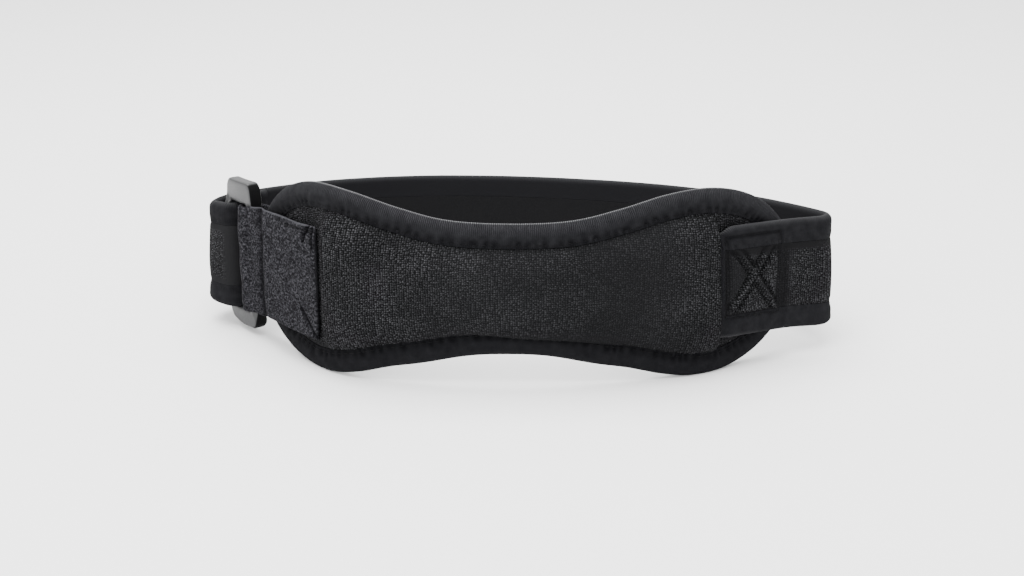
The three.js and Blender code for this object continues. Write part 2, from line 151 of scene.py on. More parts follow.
PAD_CREASE_INSET = 0.0034
PAD_CREASE_STRAY = 0.0007
PAD_CREASE_WIDTH = 0.0006
PAD_CREASE_WAVE_LENGTH = 0.012
PAD_WAVE = 0.00025
PAD_WAVE_LENGTHS = (0.035, 0.02)
STRAP_END_SLANT = 0.001
PUCKER_PITCH = 0.0034
PUCKER_REACH = 0.0022
PUCKER_STRAY_LENGTH = 0.010
PUCKER_FADE_LENGTH = 0.011
WALE_PITCH = 0.00076
COURSE_PITCH = 0.00058
PLAIN_TONE = 0.13
PAD_KNIT_GROUND = (0.0018, 0.0018, 0.002, 1)
PAD_KNIT_LOOPS = (0.058, 0.058, 0.062, 1)
PAD_KNIT_DEPTH = 0.00045
# Upper right quarter of the outline, from the waist to the tip: shares of the half length
# and of the half height.
PAD_OUTLINE = [
    (0, 0.683), (0.2, 0.71), (0.36, 0.82), (0.51, 0.95), (0.64, 1),
    (0.755, 0.955), (0.86, 0.82), (0.944, 0.585), (0.99, 0.3),
]
# How full the foam is along the pad: place, share.
PAD_PUFF = [(-0.074, 0), (-0.0670, 0.34), (-0.0640, 0.85), (-0.050, 1), (0.0618, 1), (0.0646, 0)]
# Rows of points: insets from the rim, and insets past the tape's inner edge.
PAD_RIM_LEVELS = [0.0012, 0.0045]
PAD_SEAM_LEVELS = [
    -0.0012, -0.0003, 0.0003, 0.0008, 0.0014, 0.0021, 0.0030, 0.0041, 0.0054, 0.0070,
]
# Forms along the pad: place, width. The tip's are where it starts, and its run.
PAD_TIP_AT = (0.060, 0.041)
PAD_FILL_AT = (0.026, 0.012)
PAD_FULL_AT = (0.008, 0.034)
PAD_SAG_AT = (0.005, 0.018)
PAD_CLIFF_AT = (0.0622, 0.0014)
PAD_CREASE_AT = (0.004, 0.013)
PAD_LOW_MIDDLE_AT = (0.010, 0.040)
PAD_MIDDLE_AT = (0.012, 0.042)
PAD_RIGHT_MIDDLE_AT = (0.034, 0.020)
PAD_SHADE_AT = (0.020, 0.038)
PAD_LOW_MIDDLE_STEPS = [(-0.016, 1), (-0.004, 0)]


def near(x, place, width, power=2):
    """1 at a place, fading to nothing about two widths away from it."""
    return np.exp(-(((x - place) / width) ** power))


def ramp(x, start, run):
    """0 up to a start and 1 from a run past it; a negative run rises the other way."""
    return np.clip((x - start) / run, 0, 1)


def smooth_steps(s, rows):
    """A value eased between rows of (place, value)."""
    rows = np.array(rows)
    s = np.clip(s, rows[0, 0], rows[-1, 0])
    k = np.clip(np.searchsorted(rows[:, 0], s, side="right") - 1, 0, len(rows) - 2)
    f = (s - rows[k, 0]) / (rows[k + 1, 0] - rows[k, 0])
    return rows[k, 1] + (rows[k + 1, 1] - rows[k, 1]) * f * f * (3 - 2 * f)


def unrest(a, b, seed, waves=7):
    """Slow uneven waves from about -1 to 1, one wave to about one unit."""
    rng = np.random.default_rng(seed)
    total = 0
    for _ in range(waves):
        turn, phase = rng.uniform(0, 2 * math.pi, 2)
        pace = 2 * math.pi * rng.uniform(0.6, 1.5)
        total = total + np.sin(pace * (a * math.cos(turn) + b * math.sin(turn)) + phase)
    return total / 4


def length_along(points):
    """Length run from the first point to each point."""
    return np.concatenate([[0], np.cumsum(np.linalg.norm(np.diff(points, axis=0), axis=1))])


def stand(points):
    """Leans the loop on the table; cloth that reaches it is pressed softly flat."""
    placed = points @ lean.T + loop_offset
    low = placed[:, 2] < SETTLE_PRESS
    placed[low, 2] = SETTLE_PRESS * np.exp(placed[low, 2] / SETTLE_PRESS - 1)
    return placed


def wrap(path, s, n, z):
    """Points of a flat cut, wrapped round its path and stood on the table."""
    x, y, _ = beside(path, s, n)
    return stand(np.stack(np.broadcast_arrays(x, y, z), -1).reshape(-1, 3))


def strip_faces(rows, count, closed=False):
    """Quads between neighbouring closed rows of count points each."""
    row = np.arange(rows if closed else rows - 1)
    col = np.arange(count)
    a = row[:, None] * count + col
    b = row[:, None] * count + (col + 1) % count
    c = (row[:, None] + 1) % rows * count + (col + 1) % count
    d = (row[:, None] + 1) % rows * count + col
    return np.stack([a, d, c, b], -1).reshape(-1, 4).tolist()


def cloth_mesh(name, points, faces, flat, material):
    """One piece with its flat cut as its UV map, in metres."""
    mesh = bpy.data.meshes.new(name)
    mesh.from_pydata(points.tolist(), [], faces)
    layer = mesh.uv_layers.new(name="cut")
    corner = np.zeros(len(mesh.loops), int)
    mesh.loops.foreach_get("vertex_index", corner)
    layer.data.foreach_set("uv", np.asarray(flat, np.float32)[corner].ravel())
    mesh.polygons.foreach_set("use_smooth", np.ones(len(mesh.polygons), bool))
    mesh.materials.append(material)
    shell = bmesh.new()
    shell.from_mesh(mesh)
    bmesh.ops.recalc_face_normals(shell, faces=shell.faces)
    shell.to_mesh(mesh)
    shell.free()
    mesh.update()
    piece = bpy.data.objects.new(name, mesh)
    bpy.context.scene.collection.objects.link(piece)
    return piece


def mark(piece, name, values):
    """Keeps a number on each point of a piece for its material to read."""
    attribute = piece.data.attributes.new(name, "FLOAT", "POINT")
    attribute.data.foreach_set("value", np.asarray(values, np.float32).ravel())


def pad_edge(count):
    """The pad's outline and the length along it, counter-clockwise from its right tip."""
    quarter = [(1, 0), *reversed(PAD_OUTLINE)]
    corners = np.array(
        quarter
        + [(-a, u) for a, u in reversed(quarter[:-1])]
        + [(-a, -u) for a, u in quarter[1:]]
        + [(a, -u) for a, u in reversed(quarter[1:-1])]
    )
    f = np.linspace(0, 1, PAD_CURVE_STEPS, endpoint=False)[:, None]
    before, here, after, last = (np.roll(corners, -k, axis=0)[:, None, :] for k in (-1, 0, 1, 2))
    curve = 0.5 * (
        2 * here + (after - before) * f
        + (2 * before - 5 * here + 4 * after - last) * f**2
        + (3 * here - before - 3 * after + last) * f**3
    ).reshape(-1, 2)
    curve *= (PAD_LENGTH / 2, PAD_LOBE_HEIGHT / 2)
    curve[:, 1] *= 1 - PAD_TAPER * curve[:, 0] / (PAD_LENGTH / 2)
    curve[:, 0] += PAD_TIP_REACH * ramp(curve[:, 0], *PAD_TIP_AT) ** 2
    fill = PAD_LOWER_FILL * near(np.abs(curve[:, 0]), *PAD_FILL_AT)
    curve[:, 1] -= np.where(curve[:, 1] < 0, fill, 0)
    closed = np.vstack([curve, curve[:1]])
    run = length_along(closed)
    even = np.linspace(0, run[-1], count, endpoint=False)
    return np.stack([np.interp(even, run, closed[:, k]) for k in (0, 1)], -1), even


def inward_of(outline):
    """Unit directions from each point of an outline towards its inside."""
    ahead = np.roll(outline, -1, axis=0) - np.roll(outline, 1, axis=0)
    inside = np.stack([-ahead[:, 1], ahead[:, 0]], -1)
    return inside / np.linalg.norm(inside, axis=1)[:, None]


def pucker(run):
    """How far each seam stitch pulls the cloth in, from 0 to 1."""
    phase = run / PUCKER_PITCH + 0.4 * unrest(run / PUCKER_STRAY_LENGTH, 0 * run, 5)
    strength = 0.6 + 0.4 * unrest(run / PUCKER_FADE_LENGTH, 0 * run, 4)
    return (0.5 + 0.5 * np.cos(2 * math.pi * phase)) * strength


edge, edge_run = pad_edge(PAD_EDGE_POINTS)
inward = inward_of(edge)
seam = PAD_BIND_WIDTH + LAY_GAP
levels = [edge + inward * inset for inset in PAD_RIM_LEVELS]
levels += [edge + inward * (seam + past) for past in PAD_SEAM_LEVELS]
outermost = levels[-1]
spine = np.stack([edge[:, 0] * PAD_SPINE_SHARE, 0 * edge[:, 0]], -1)
for share in np.linspace(0, 1, PAD_INNER_LEVELS + 2)[1:-1]:
    levels.append(outermost * (1 - share) + spine * share)
flat_pad = np.array(levels).reshape(-1, 2)


def inset_from(points, at_once=2000):
    """Distance of flat points from the pad's edge."""
    found = np.empty(len(points))
    for start in range(0, len(points), at_once):
        part = points[start:start + at_once]
        found[start:start + at_once] = np.sqrt(((part[:, None] - edge[None]) ** 2).sum(-1)).min(1)
    return found


past_seam = inset_from(flat_pad) - seam
along_pad = flat_pad[:, 0] + PAD_SHIFT
low_half = flat_pad[:, 1] < 0
from_strap = along_pad + STRAP_END_SLANT * flat_pad[:, 1] / (STRAP_HEIGHT / 2) * (along_pad > 0)
puff = smooth_steps(from_strap, PAD_PUFF)
pull = np.tile(pucker(edge_run), len(levels)) * (1 - 0.85 * near(along_pad, *PAD_FULL_AT, 4) * low_half)
hold = np.exp(-np.clip(past_seam, 0, None) / PUCKER_REACH) * pull
crowned = ramp(past_seam, 0, PAD_CROWN_REACH)
rise = PAD_LEVEL_RISE * ramp(past_seam, 0, PAD_RISE_RUN)
front_n, back_n = (
    PAD_RIM_HALF + (rise + crown * puff * (1 - (1 - crowned) ** 3)) * (1 - 0.4 * hold)
    for crown in (PAD_CROWN, PAD_BACK_CROWN)
)

# The foam swells out over the tape, most along the lower edge, where it also creases.
sag = PAD_LOWER_OVERHANG + PAD_SAG * near(along_pad, *PAD_SAG_AT)
overhang = np.where(flat_pad[:, 1] > 0, PAD_UPPER_OVERHANG, sag)
swollen = smooth_steps(past_seam, [(PAD_SWELL_FROM, 0), (PAD_SWELL_FULL, 1)])
swollen = swollen * (1 - ramp(past_seam, PAD_SWELL_FULL, PAD_SWELL_FADE)) ** 2
out = overhang * puff * swollen * (1 - 0.5 * hold)
cliff = PAD_CLIFF_LEAN * near(from_strap, *PAD_CLIFF_AT) * ramp(past_seam, 0, PAD_CLIFF_RUN)
leaning = np.stack([cliff, 0 * cliff], -1)
front_pad = flat_pad - np.tile(inward, (len(levels), 1)) * out[:, None] + leaning
crease_wave = unrest(along_pad / PAD_CREASE_WAVE_LENGTH, 0 * along_pad, 31)
crease_inset = PAD_CREASE_INSET + PAD_CREASE_STRAY * crease_wave
crease = near(past_seam, crease_inset, PAD_CREASE_WIDTH) * near(along_pad, *PAD_CREASE_AT, 4) * low_half
wave_length, wave_height = PAD_WAVE_LENGTHS
slow_wave = unrest(along_pad / wave_length, flat_pad[:, 1] / wave_height, 33)
wave = PAD_WAVE * puff * crowned * slow_wave
front_n = front_n - PAD_CREASE_DEPTH * crease + wave

count = PAD_EDGE_POINTS
last_row = (len(levels) - 1) * count
front_faces = [face[::-1] for face in strip_faces(len(levels), count)]
for i in range(1, count // 2 - 1):
    over = last_row + count - i
    front_faces.append([last_row + i, last_row + i + 1, over - 1, over])
front_faces.append([last_row, last_row + 1, last_row + count - 1])
front_faces.append([last_row + count // 2 + turn for turn in (0, 1, -1)])
back_faces = [[index + len(flat_pad) for index in reversed(face)] for face in front_faces]
rim_faces = [
    [i, (i + 1) % count, len(flat_pad) + (i + 1) % count, len(flat_pad) + i] for i in range(count)
]


def wire(tree, kind, inputs=None, **settings):
    """Adds a node, sets its properties and links or sets its inputs."""
    node = tree.nodes.new(kind)
    for key, value in settings.items():
        setattr(node, key, value)
    for key, value in (inputs or {}).items():
        if isinstance(value, bpy.types.NodeSocket):
            tree.links.new(value, node.inputs[key])
        else:
            node.inputs[key].default_value = value
    return node


def math_node(tree, operation, *values):
    return wire(tree, "ShaderNodeMath", dict(enumerate(values)), operation=operation).outputs[0]


def times(tree, a, b):
    return math_node(tree, "MULTIPLY", a, b)


def scaled(tree, a, factor, offset):
    return math_node(tree, "MULTIPLY_ADD", a, factor, offset)


def noise(tree, place, scale, detail=2.0, roughness=0.5):
    inputs = {"Vector": place, "Scale": scale, "Detail": detail, "Roughness": roughness}
    return wire(tree, "ShaderNodeTexNoise", inputs).outputs[0]


def blend(tree, share, colour, other):
    """Goes from one colour to another as a share goes from 0 to 1."""
    inputs = {0: share, 6: colour, 7: other}
    return wire(tree, "ShaderNodeMix", inputs, data_type="RGBA", clamp_factor=True).outputs[2]


def marked(tree, name):
    """The number that mark() kept on the points."""
    return wire(tree, "ShaderNodeAttribute", attribute_name=name).outputs["Fac"]


def unmarked(tree, name):
    return math_node(tree, "SUBTRACT", 1.0, marked(tree, name))


def new_group(name, numbers, outputs):
    """A shader group that reads the flat cut and named numbers, with its two ends."""
    tree = bpy.data.node_groups.new(name, "ShaderNodeTree")
    tree.interface.new_socket("Cut", in_out="INPUT", socket_type="NodeSocketVector")
    for label, value in numbers.items():
        socket = tree.interface.new_socket(label, in_out="INPUT", socket_type="NodeSocketFloat")
        socket.default_value = value
    for label in outputs:
        tree.interface.new_socket(label, in_out="OUTPUT", socket_type="NodeSocketFloat")
    return tree, tree.nodes.new("NodeGroupInput").outputs, tree.nodes.new("NodeGroupOutput").inputs


def new_material(name, roughness, specular):
    material = bpy.data.materials.new(name)
    material.use_nodes = True
    shader = material.node_tree.nodes["Principled BSDF"]
    shader.inputs["Roughness"].default_value = roughness
    shader.inputs["Specular IOR Level"].default_value = specular
    return material, material.node_tree, shader


def finish_material(tree, shader, colour, height, depth, strength=1.0):
    """Gives a material its colour and a relief of the depth that the height is a share of."""
    relief = wire(tree, "ShaderNodeBump", {"Height": height, "Distance": depth, "Strength": strength})
    tree.links.new(colour, shader.inputs["Base Color"])
    tree.links.new(relief.outputs[0], shader.inputs["Normal"])


loops, given, result = new_group("cloth_loops", {"Wale": 0.001, "Course": 0.001}, ["Height", "Fleck"])
cut = wire(loops, "ShaderNodeSeparateXYZ", {0: given["Cut"]}).outputs
wavy = scaled(loops, noise(loops, given["Cut"], 45.0, 1.0), 0.004, cut[1])
place = wire(loops, "ShaderNodeCombineXYZ", {
    0: math_node(loops, "DIVIDE", cut[0], given["Wale"]),
    1: math_node(loops, "DIVIDE", wavy, given["Course"]),
})
cells = wire(
    loops, "ShaderNodeTexVoronoi",
    {"Vector": place.outputs[0], "Scale": 1.0, "Randomness": 0.47}, voronoi_dimensions="2D",
).outputs
raised = wire(
    loops, "ShaderNodeMapRange",
    {0: cells["Distance"], 1: 0.62, 2: 0.12}, interpolation_type="SMOOTHSTEP",
)
fleck = wire(loops, "ShaderNodeSeparateColor", {0: cells["Color"]})
loops.links.new(raised.outputs[0], result["Height"])
loops.links.new(fleck.outputs[0], result["Fleck"])


def knit_material(name, ground, light, depth):
    """Loop knit: pale uneven loops on a dark ground, plain on the lining and where plain dark knit is
    painted as shade, and darkened where painted shade or a plain darker tone is marked.
    """
    material, tree, shader = new_material(name, 0.95, 0.04)
    flat = wire(tree, "ShaderNodeUVMap", uv_map="cut").outputs[0]
    inputs = {"Cut": flat, "Wale": WALE_PITCH, "Course": COURSE_PITCH}
    grain = wire(tree, "ShaderNodeGroup", inputs, node_tree=loops).outputs
    shown = unmarked(tree, "lining_and_shade")
    yarn = scaled(tree, math_node(tree, "POWER", grain["Fleck"], 2.0), 0.6, 0.3)
    patch = scaled(tree, noise(tree, flat, 60.0, 5.0), 1.6, 0.1)
    tone = times(tree, times(tree, grain["Height"], yarn), patch)
    faded = scaled(tree, math_node(tree, "SUBTRACT", tone, PLAIN_TONE), shown, PLAIN_TONE)
    # Painted shade and a plain darker tone darken the colour where marked.
    colour = blend(tree, times(tree, faded, unmarked(tree, "shade_and_tone")), ground, light)
    raised = times(tree, grain["Height"], scaled(tree, shown, 0.95, 0.05))
    finish_material(tree, shader, colour, raised, depth)
    return material


pad_knit = knit_material("pad_knit", PAD_KNIT_GROUND, PAD_KNIT_LOOPS, PAD_KNIT_DEPTH)
points = np.vstack([
    wrap(front_path, front_pad[:, 0] + PAD_SHIFT, front_n, front_pad[:, 1]),
    wrap(front_path, along_pad, -back_n, flat_pad[:, 1]),
])
pad = cloth_mesh(
    "padded_knit_cover", points, front_faces + back_faces + rim_faces,
    np.vstack([flat_pad + leaning, flat_pad + (0, 0.1)]), pad_knit,
)

# Painted shade: the knit is drawn plain and dark in the lower middle, across the middle and to the right
# of it, and is painted darker there.
low_middle = near(along_pad, *PAD_LOW_MIDDLE_AT, 4) * smooth_steps(flat_pad[:, 1], PAD_LOW_MIDDLE_STEPS)
right_of_middle = near(along_pad, *PAD_RIGHT_MIDDLE_AT, 4)
smoothed = np.maximum.reduce([
    0.85 * low_middle, 0.45 * near(along_pad, *PAD_MIDDLE_AT, 4), 0.62 * right_of_middle,
])
# Painted shade darkens the middle, the lower middle and the right of middle.
painted_shade = 0.22 * near(along_pad, *PAD_SHADE_AT) + 0.12 * low_middle + 0.14 * right_of_middle
mark(pad, "lining_and_shade", np.concatenate([smoothed, 0 * smoothed]))
mark(pad, "shade_and_tone", np.concatenate([painted_shade, 0 * painted_shade]))
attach(pad, "root")
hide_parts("pad")

# Pad binding.
# One length of ribbed knit tape folded round the pad's rim and sewn through near its inner
# edge. Its fold stands round and full, and each stitch pulls a small dimple in it.
PAD_FOLD_REACH = 0.0026
BIND_EDGE_POINTS = 820
RIB_PITCH = 0.00062
SEAM_FROM_EDGE = 0.0012
SEAM_DIP = 0.00018
SEAM_DIP_WIDTH = 0.0013
STITCH_DIP = 0.00085
TAPE_PLUMP = 0.00022
TAPE_PLUMP_LENGTHS = (0.0045, 0.006)
TAPE_EDGE_IN = 0.00035
TAPE_EDGE_STEPS = (0, 0.0001, 0.0003)
TAPE_FLAT_FROM = 0.0007
TAPE_GROUND = (0.0022, 0.0022, 0.0028, 1)
TAPE_RIBS = (0.030, 0.030, 0.033, 1)
TAPE_FOLD_HIGHLIGHT = (0.17, 0.17, 0.175, 1)
TAPE_DEPTH = 0.0004
TAPE_SHADE_WIDTH = 0.0017
TAPE_RIB_FADE = 0.0056
# How much of the tape's painted fold highlight and pale ribs shows, by height; the lower tape is painted
# darker as shade.
PAD_UPPER_STEPS = [(-0.012, 0.06), (0.012, 1)]


def tape_section(width, half, fold):
    """Folded tape: rows of inset, n and length across it, front seam to back, then inside."""
    by_edge = [width - step for step in TAPE_EDGE_STEPS]
    flat_x = np.concatenate([by_edge, np.linspace(width - TAPE_FLAT_FROM, fold, 15)[:-1]])
    turn = np.linspace(math.pi / 2, -math.pi / 2, 15)
    out_x = np.concatenate([flat_x, fold - fold * np.cos(turn), flat_x[::-1]])
    out_y = np.concatenate([0 * flat_x + half, half * np.sin(turn), 0 * flat_x - half])
    inner = half - TAPE_THICKNESS
    flat_x = np.linspace(width, fold, 4)[:-1]
    turn = np.linspace(-math.pi / 2, math.pi / 2, 9)
    in_x = np.concatenate([flat_x, fold - (fold - TAPE_THICKNESS) * np.cos(turn), flat_x[::-1]])
    in_y = np.concatenate([0 * flat_x - inner, inner * np.sin(turn), 0 * flat_x + inner])
    x = np.concatenate([out_x, in_x])
    y = np.concatenate([out_y, in_y])
    outer = np.arange(len(x)) < len(out_x)
    return x, y, length_along(np.stack([x, y], -1)), outer, np.abs(y) / half


def sewn_down(x, y, run, outer, width, half, back=1, depth=1):
    """Presses the tape in along its seam, deeper at each stitch, and plumps it beside that."""
    seam_x = width - SEAM_FROM_EDGE
    dip = near(x, seam_x, SEAM_DIP_WIDTH) * (SEAM_DIP + STITCH_DIP * pucker(run))
    bulge_length, bulge_width = TAPE_PLUMP_LENGTHS
    bulge = 1 + 0.8 * unrest(run / bulge_length, x / bulge_width, 8)
    plump = TAPE_PLUMP * np.sin(math.pi * np.clip((width - x) / width, 0, 1)) * bulge
    edge_in = TAPE_EDGE_IN * ramp(x, seam_x, SEAM_FROM_EDGE)
    sides = np.where(y > 0, 1, -back)
    return np.where(outer & (np.abs(y) > 0.4 * half), y - sides * (depth * (dip + edge_in) - plump), y)


ribs, given, result = new_group("tape_ribs", {"Pitch": 0.0006, "Stray": 1.3}, ["Height", "Blotch"])
cut = wire(ribs, "ShaderNodeSeparateXYZ", {0: given["Cut"]}).outputs
turns = math_node(ribs, "DIVIDE", cut[0], given["Pitch"])
strayed = scaled(ribs, noise(ribs, given["Cut"], 420.0), given["Stray"], turns)
ridge = math_node(ribs, "SINE", times(ribs, strayed, 2 * math.pi))
ribs.links.new(scaled(ribs, ridge, 0.5, 0.5), result["Height"])
ribs.links.new(noise(ribs, given["Cut"], 330.0, 5.0), result["Blotch"])

# Smooth tape whose ribs open where it is folded over the edge, with a painted highlight along the fold
# and painted shade where marked.
tape, tree, shader = new_material("binding_tape", 0.9, 0.06)
flat = wire(tree, "ShaderNodeUVMap", uv_map="cut").outputs[0]
grain = wire(tree, "ShaderNodeGroup", {"Cut": flat, "Pitch": RIB_PITCH}, node_tree=ribs).outputs
opened = times(tree, grain["Height"], marked(tree, "rib"))
shown = unmarked(tree, "lining_and_shade")
ground = scaled(tree, scaled(tree, grain["Blotch"], 0.5, -0.25), shown, 0.17)
tone = times(tree, scaled(tree, opened, 0.9, ground), unmarked(tree, "shade_and_tone"))
# Painted highlight along the fold, broken by the ribs.
fold_highlight = times(tree, marked(tree, "fold"), scaled(tree, grain["Height"], 0.85, 0.15))
colour = blend(tree, fold_highlight, blend(tree, tone, TAPE_GROUND, TAPE_RIBS), TAPE_FOLD_HIGHLIGHT)
weave = scaled(tree, times(tree, grain["Blotch"], shown), 0.3, opened)
finish_material(tree, shader, colour, weave, TAPE_DEPTH)

bind_edge, bind_run = pad_edge(BIND_EDGE_POINTS)
bind_inward = inward_of(bind_edge)
x, y, across_run, outer, fold_share = tape_section(PAD_BIND_WIDTH, pad_bind_half, PAD_FOLD_REACH)
shape = (len(bind_edge), len(x))
along_tape = np.broadcast_to(bind_run[:, None], shape)
lift = sewn_down(x[None], y[None], along_tape, outer[None], PAD_BIND_WIDTH, pad_bind_half)
flat_bind = bind_edge[:, None] + bind_inward[:, None] * x[None, :, None]
pad_binding = cloth_mesh(
    "pad_binding_tape",
    wrap(front_path, flat_bind[..., 0] + PAD_SHIFT, lift, flat_bind[..., 1]),
    strip_faces(*shape, closed=True),
    np.stack([along_tape, np.broadcast_to(across_run, shape)], -1).reshape(-1, 2),
    tape,
)
upper = smooth_steps(flat_bind[..., 1], PAD_UPPER_STEPS)
fold_mark = np.clip(1.0 - 2.6 * fold_share, 0, 1) * outer * (x < PAD_FOLD_REACH)
rib_mark = np.clip(0.85 - x / TAPE_RIB_FADE, 0.06, 0.62) * outer
near_seam = near(x, PAD_BIND_WIDTH - SEAM_FROM_EDGE, TAPE_SHADE_WIDTH) * outer
# Painted highlight along the upper fold. The pale ribs on the upper tape only are partly rib texture,
# partly painted highlight. Painted shade darkens the lower tape and the stitch dimples.
mark(pad_binding, "fold", fold_mark * upper)
mark(pad_binding, "rib", rib_mark * upper)
mark(pad_binding, "shade_and_tone", np.clip(0.5 * (1 - upper) + 0.9 * near_seam * pucker(along_tape), 0, 0.95))
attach(pad_binding, "root")
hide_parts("pad_binding")

# Strap.
# A band of thin foam between an outer knit and a smooth lining. It is sewn on the pad's
# right end, goes round the back of the knee, turns round the ring's outer bar and ends inside.
STRAP_THICKNESS = 0.0032
STRAP_BIND_WIDTH = 0.008
STRAP_END_BIND = 0.0026
STRAP_SEWN_END = 0.0318
STRAP_LOOP_HEIGHT = 0.0384
STRAP_OVERLAP = 0.024
STRAP_PAD_RADIUS = 0.071
STRAP_OVER_RIM = 0.018
STRAP_LIFT_RUN = 0.007
STRAP_LIFT_TURN = 6
STRAP_FREE_RUN = 0.009
STRAP_PAST_RING = 0.0016
CORNER_ALLOWANCE = 0.006
RETURN_ALLOWANCE = 0.010
RIGHT_CORNER_RADIUS = 0.0055
LEFT_CORNER_RADIUS = 0.006
RIGHT_STRAND_HEADING = 121
LEFT_STRAND_HEADING = 228
BRIDGE_REACH = (0.095, 0.060)
BRIDGE_POINTS = 1500
# Along the strap, as shares of its length: how far it hangs, and how far it narrows.
STRAP_DROP = [(0, -0.1), (0.14, 0.2), (0.5, 1), (0.76, 0.85), (0.87, 0.5), (1, 0.5)]
STRAP_SPREAD = [(0, 0), (0.76, 0), (0.87, 1), (1, 1)]
# How each bend and the sewn end is drawn out of the plain band: amount, and its reach.
STRAP_SPLAY = 0.001
STRAP_RIGHT_BULGE = 0.0013
STRAP_RIGHT_BULGE_REACH = 0.010
STRAP_LEFT_BULGE = 0.0008
STRAP_LEFT_BULGE_REACH = 0.009
STRAP_CORNER_DRAW = 0.045
STRAP_CORNER_DRAW_REACH = 0.0050
STRAP_END_PRESS = 0.45
STRAP_END_PRESS_REACH = 0.0030
STRAP_END_SLANT_REACH = 0.018
STRAP_END_ROUND = 0.0022
STRAP_END_ROUND_REACH = 0.0026
# The strap turns round the ring, and the ring's place comes from the tab that holds it.
RING_WIDTH = 0.019
RING_HEIGHT = 0.052
RING_THICKNESS = 0.0033
RING_BAR_WIDTH = 0.0036
RING_EASE = 0.0016
RING_FROM_PAD = 0.011
TAB_THICKNESS = 0.0022

pad_right_end = PAD_LENGTH / 2 + PAD_SHIFT
tab_front_middle = pad_bind_half + 2 * LAY_GAP + HOOK_THICKNESS + TAB_THICKNESS / 2
tab_back_middle = -(pad_bind_half + LAY_GAP + TAB_THICKNESS / 2)
ring_middle = (tab_front_middle + tab_back_middle) / 2
tab_turn_radius = (tab_front_middle - tab_back_middle) / 2
ring_along = -(pad_left_end + RING_FROM_PAD)
bar_from_ring = RING_WIDTH / 2 - RING_BAR_WIDTH / 2 - RING_EASE
ring_x, ring_y, ring_heading = beside(front_path, ring_along, ring_middle)
strap_half = STRAP_THICKNESS / 2
strap_turn_radius = RING_THICKNESS / 2 + LAY_GAP + strap_half


def bridge_path(start, goal, reach):
    """A smooth curve that joins two places with their headings."""
    a, b = math.radians(start[2]), math.radians(goal[2])
    t = np.linspace(0, 1, BRIDGE_POINTS)[:, None]
    p0, p3 = np.array(start[:2]), np.array(goal[:2])
    p1 = p0 + reach[0] * np.array([math.cos(a), math.sin(a)])
    p2 = p3 - reach[1] * np.array([math.cos(b), math.sin(b)])
    curve = (1 - t)**3 * p0 + 3 * t * (1 - t)**2 * p1 + 3 * t**2 * (1 - t) * p2 + t**3 * p3
    slope = 3 * (1 - t)**2 * (p1 - p0) + 6 * t * (1 - t) * (p2 - p1) + 3 * t**2 * (p3 - p2)
    heading = np.degrees(np.unwrap(np.arctan2(slope[:, 1], slope[:, 0])))
    return np.column_stack([length_along(curve), curve, heading])


def joined(*paths):
    """One path made of paths that each start where the one before ends."""
    whole = paths[0]
    for path in paths[1:]:
        path = path[1:].copy()
        path[:, 0] += whole[-1, 0]
        whole = np.vstack([whole, path])
    return whole


# The strap's middle line from its sewn end, over the pad's rim and round the right bend.
start_s = pad_right_end - STRAP_SEWN_END
start_x, start_y, start_heading = beside(front_path, start_s, pad_bind_half + LAY_GAP + strap_half)
end_heading = beside(front_path, pad_right_end, 0)[2]
pad_turn = end_heading - start_heading
right_turn = RIGHT_STRAND_HEADING - end_heading + STRAP_LIFT_TURN
off_pad = trace_path(start_x, start_y, start_heading, [
    (STRAP_PAD_RADIUS * math.radians(pad_turn), pad_turn),
    (STRAP_OVER_RIM, 0),
    (STRAP_LIFT_RUN, -STRAP_LIFT_TURN),
    (STRAP_FREE_RUN, 0),
    (RIGHT_CORNER_RADIUS * math.radians(right_turn), right_turn),
])

# Its other end, worked back from the ring's outer bar, and then forward round that bar.
outer_x, outer_y, _ = beside(front_path, ring_along - bar_from_ring, ring_middle + strap_turn_radius)
corner_turn = ring_heading + 360 - LEFT_STRAND_HEADING
bend = math.radians(corner_turn)
corner_run = RING_WIDTH / 2 + STRAP_PAST_RING - bar_from_ring
join = trace_path(outer_x, outer_y, ring_heading + 180, [
    (corner_run, 0),
    (LEFT_CORNER_RADIUS * bend, -corner_turn),
    (STRAP_OVERLAP - CORNER_ALLOWANCE, 0),
])[-1]
layer = STRAP_THICKNESS + LAY_GAP
inner_radius = LEFT_CORNER_RADIUS - layer
return_inset = (layer - 2 * strap_turn_radius * math.cos(bend)) / math.sin(bend)
return_run = corner_run + (LEFT_CORNER_RADIUS - inner_radius) * math.tan(bend / 2) - return_inset
behind = bridge_path(off_pad[-1, 1:4], (join[1], join[2], LEFT_STRAND_HEADING), BRIDGE_REACH)
round_ring = trace_path(join[1], join[2], LEFT_STRAND_HEADING, [
    (STRAP_OVERLAP - CORNER_ALLOWANCE, 0),
    (LEFT_CORNER_RADIUS * bend, corner_turn),
    (corner_run, 0),
    (strap_turn_radius * math.pi, 180),
    (return_run, 0),
    (inner_radius * bend, -corner_turn),
    (STRAP_OVERLAP - RETURN_ALLOWANCE, 0),
])
strap_path = joined(off_pad, behind, round_ring)
strap_length = strap_path[-1, 0]
corner_at = off_pad[-1, 0] + behind[-1, 0] + STRAP_OVERLAP - CORNER_ALLOWANCE
left_bend_at = corner_at + LEFT_CORNER_RADIUS * math.radians(270 - LEFT_STRAND_HEADING)
right_bend_at = off_pad[-1, 0] - RIGHT_CORNER_RADIUS * math.radians(right_turn) / 2


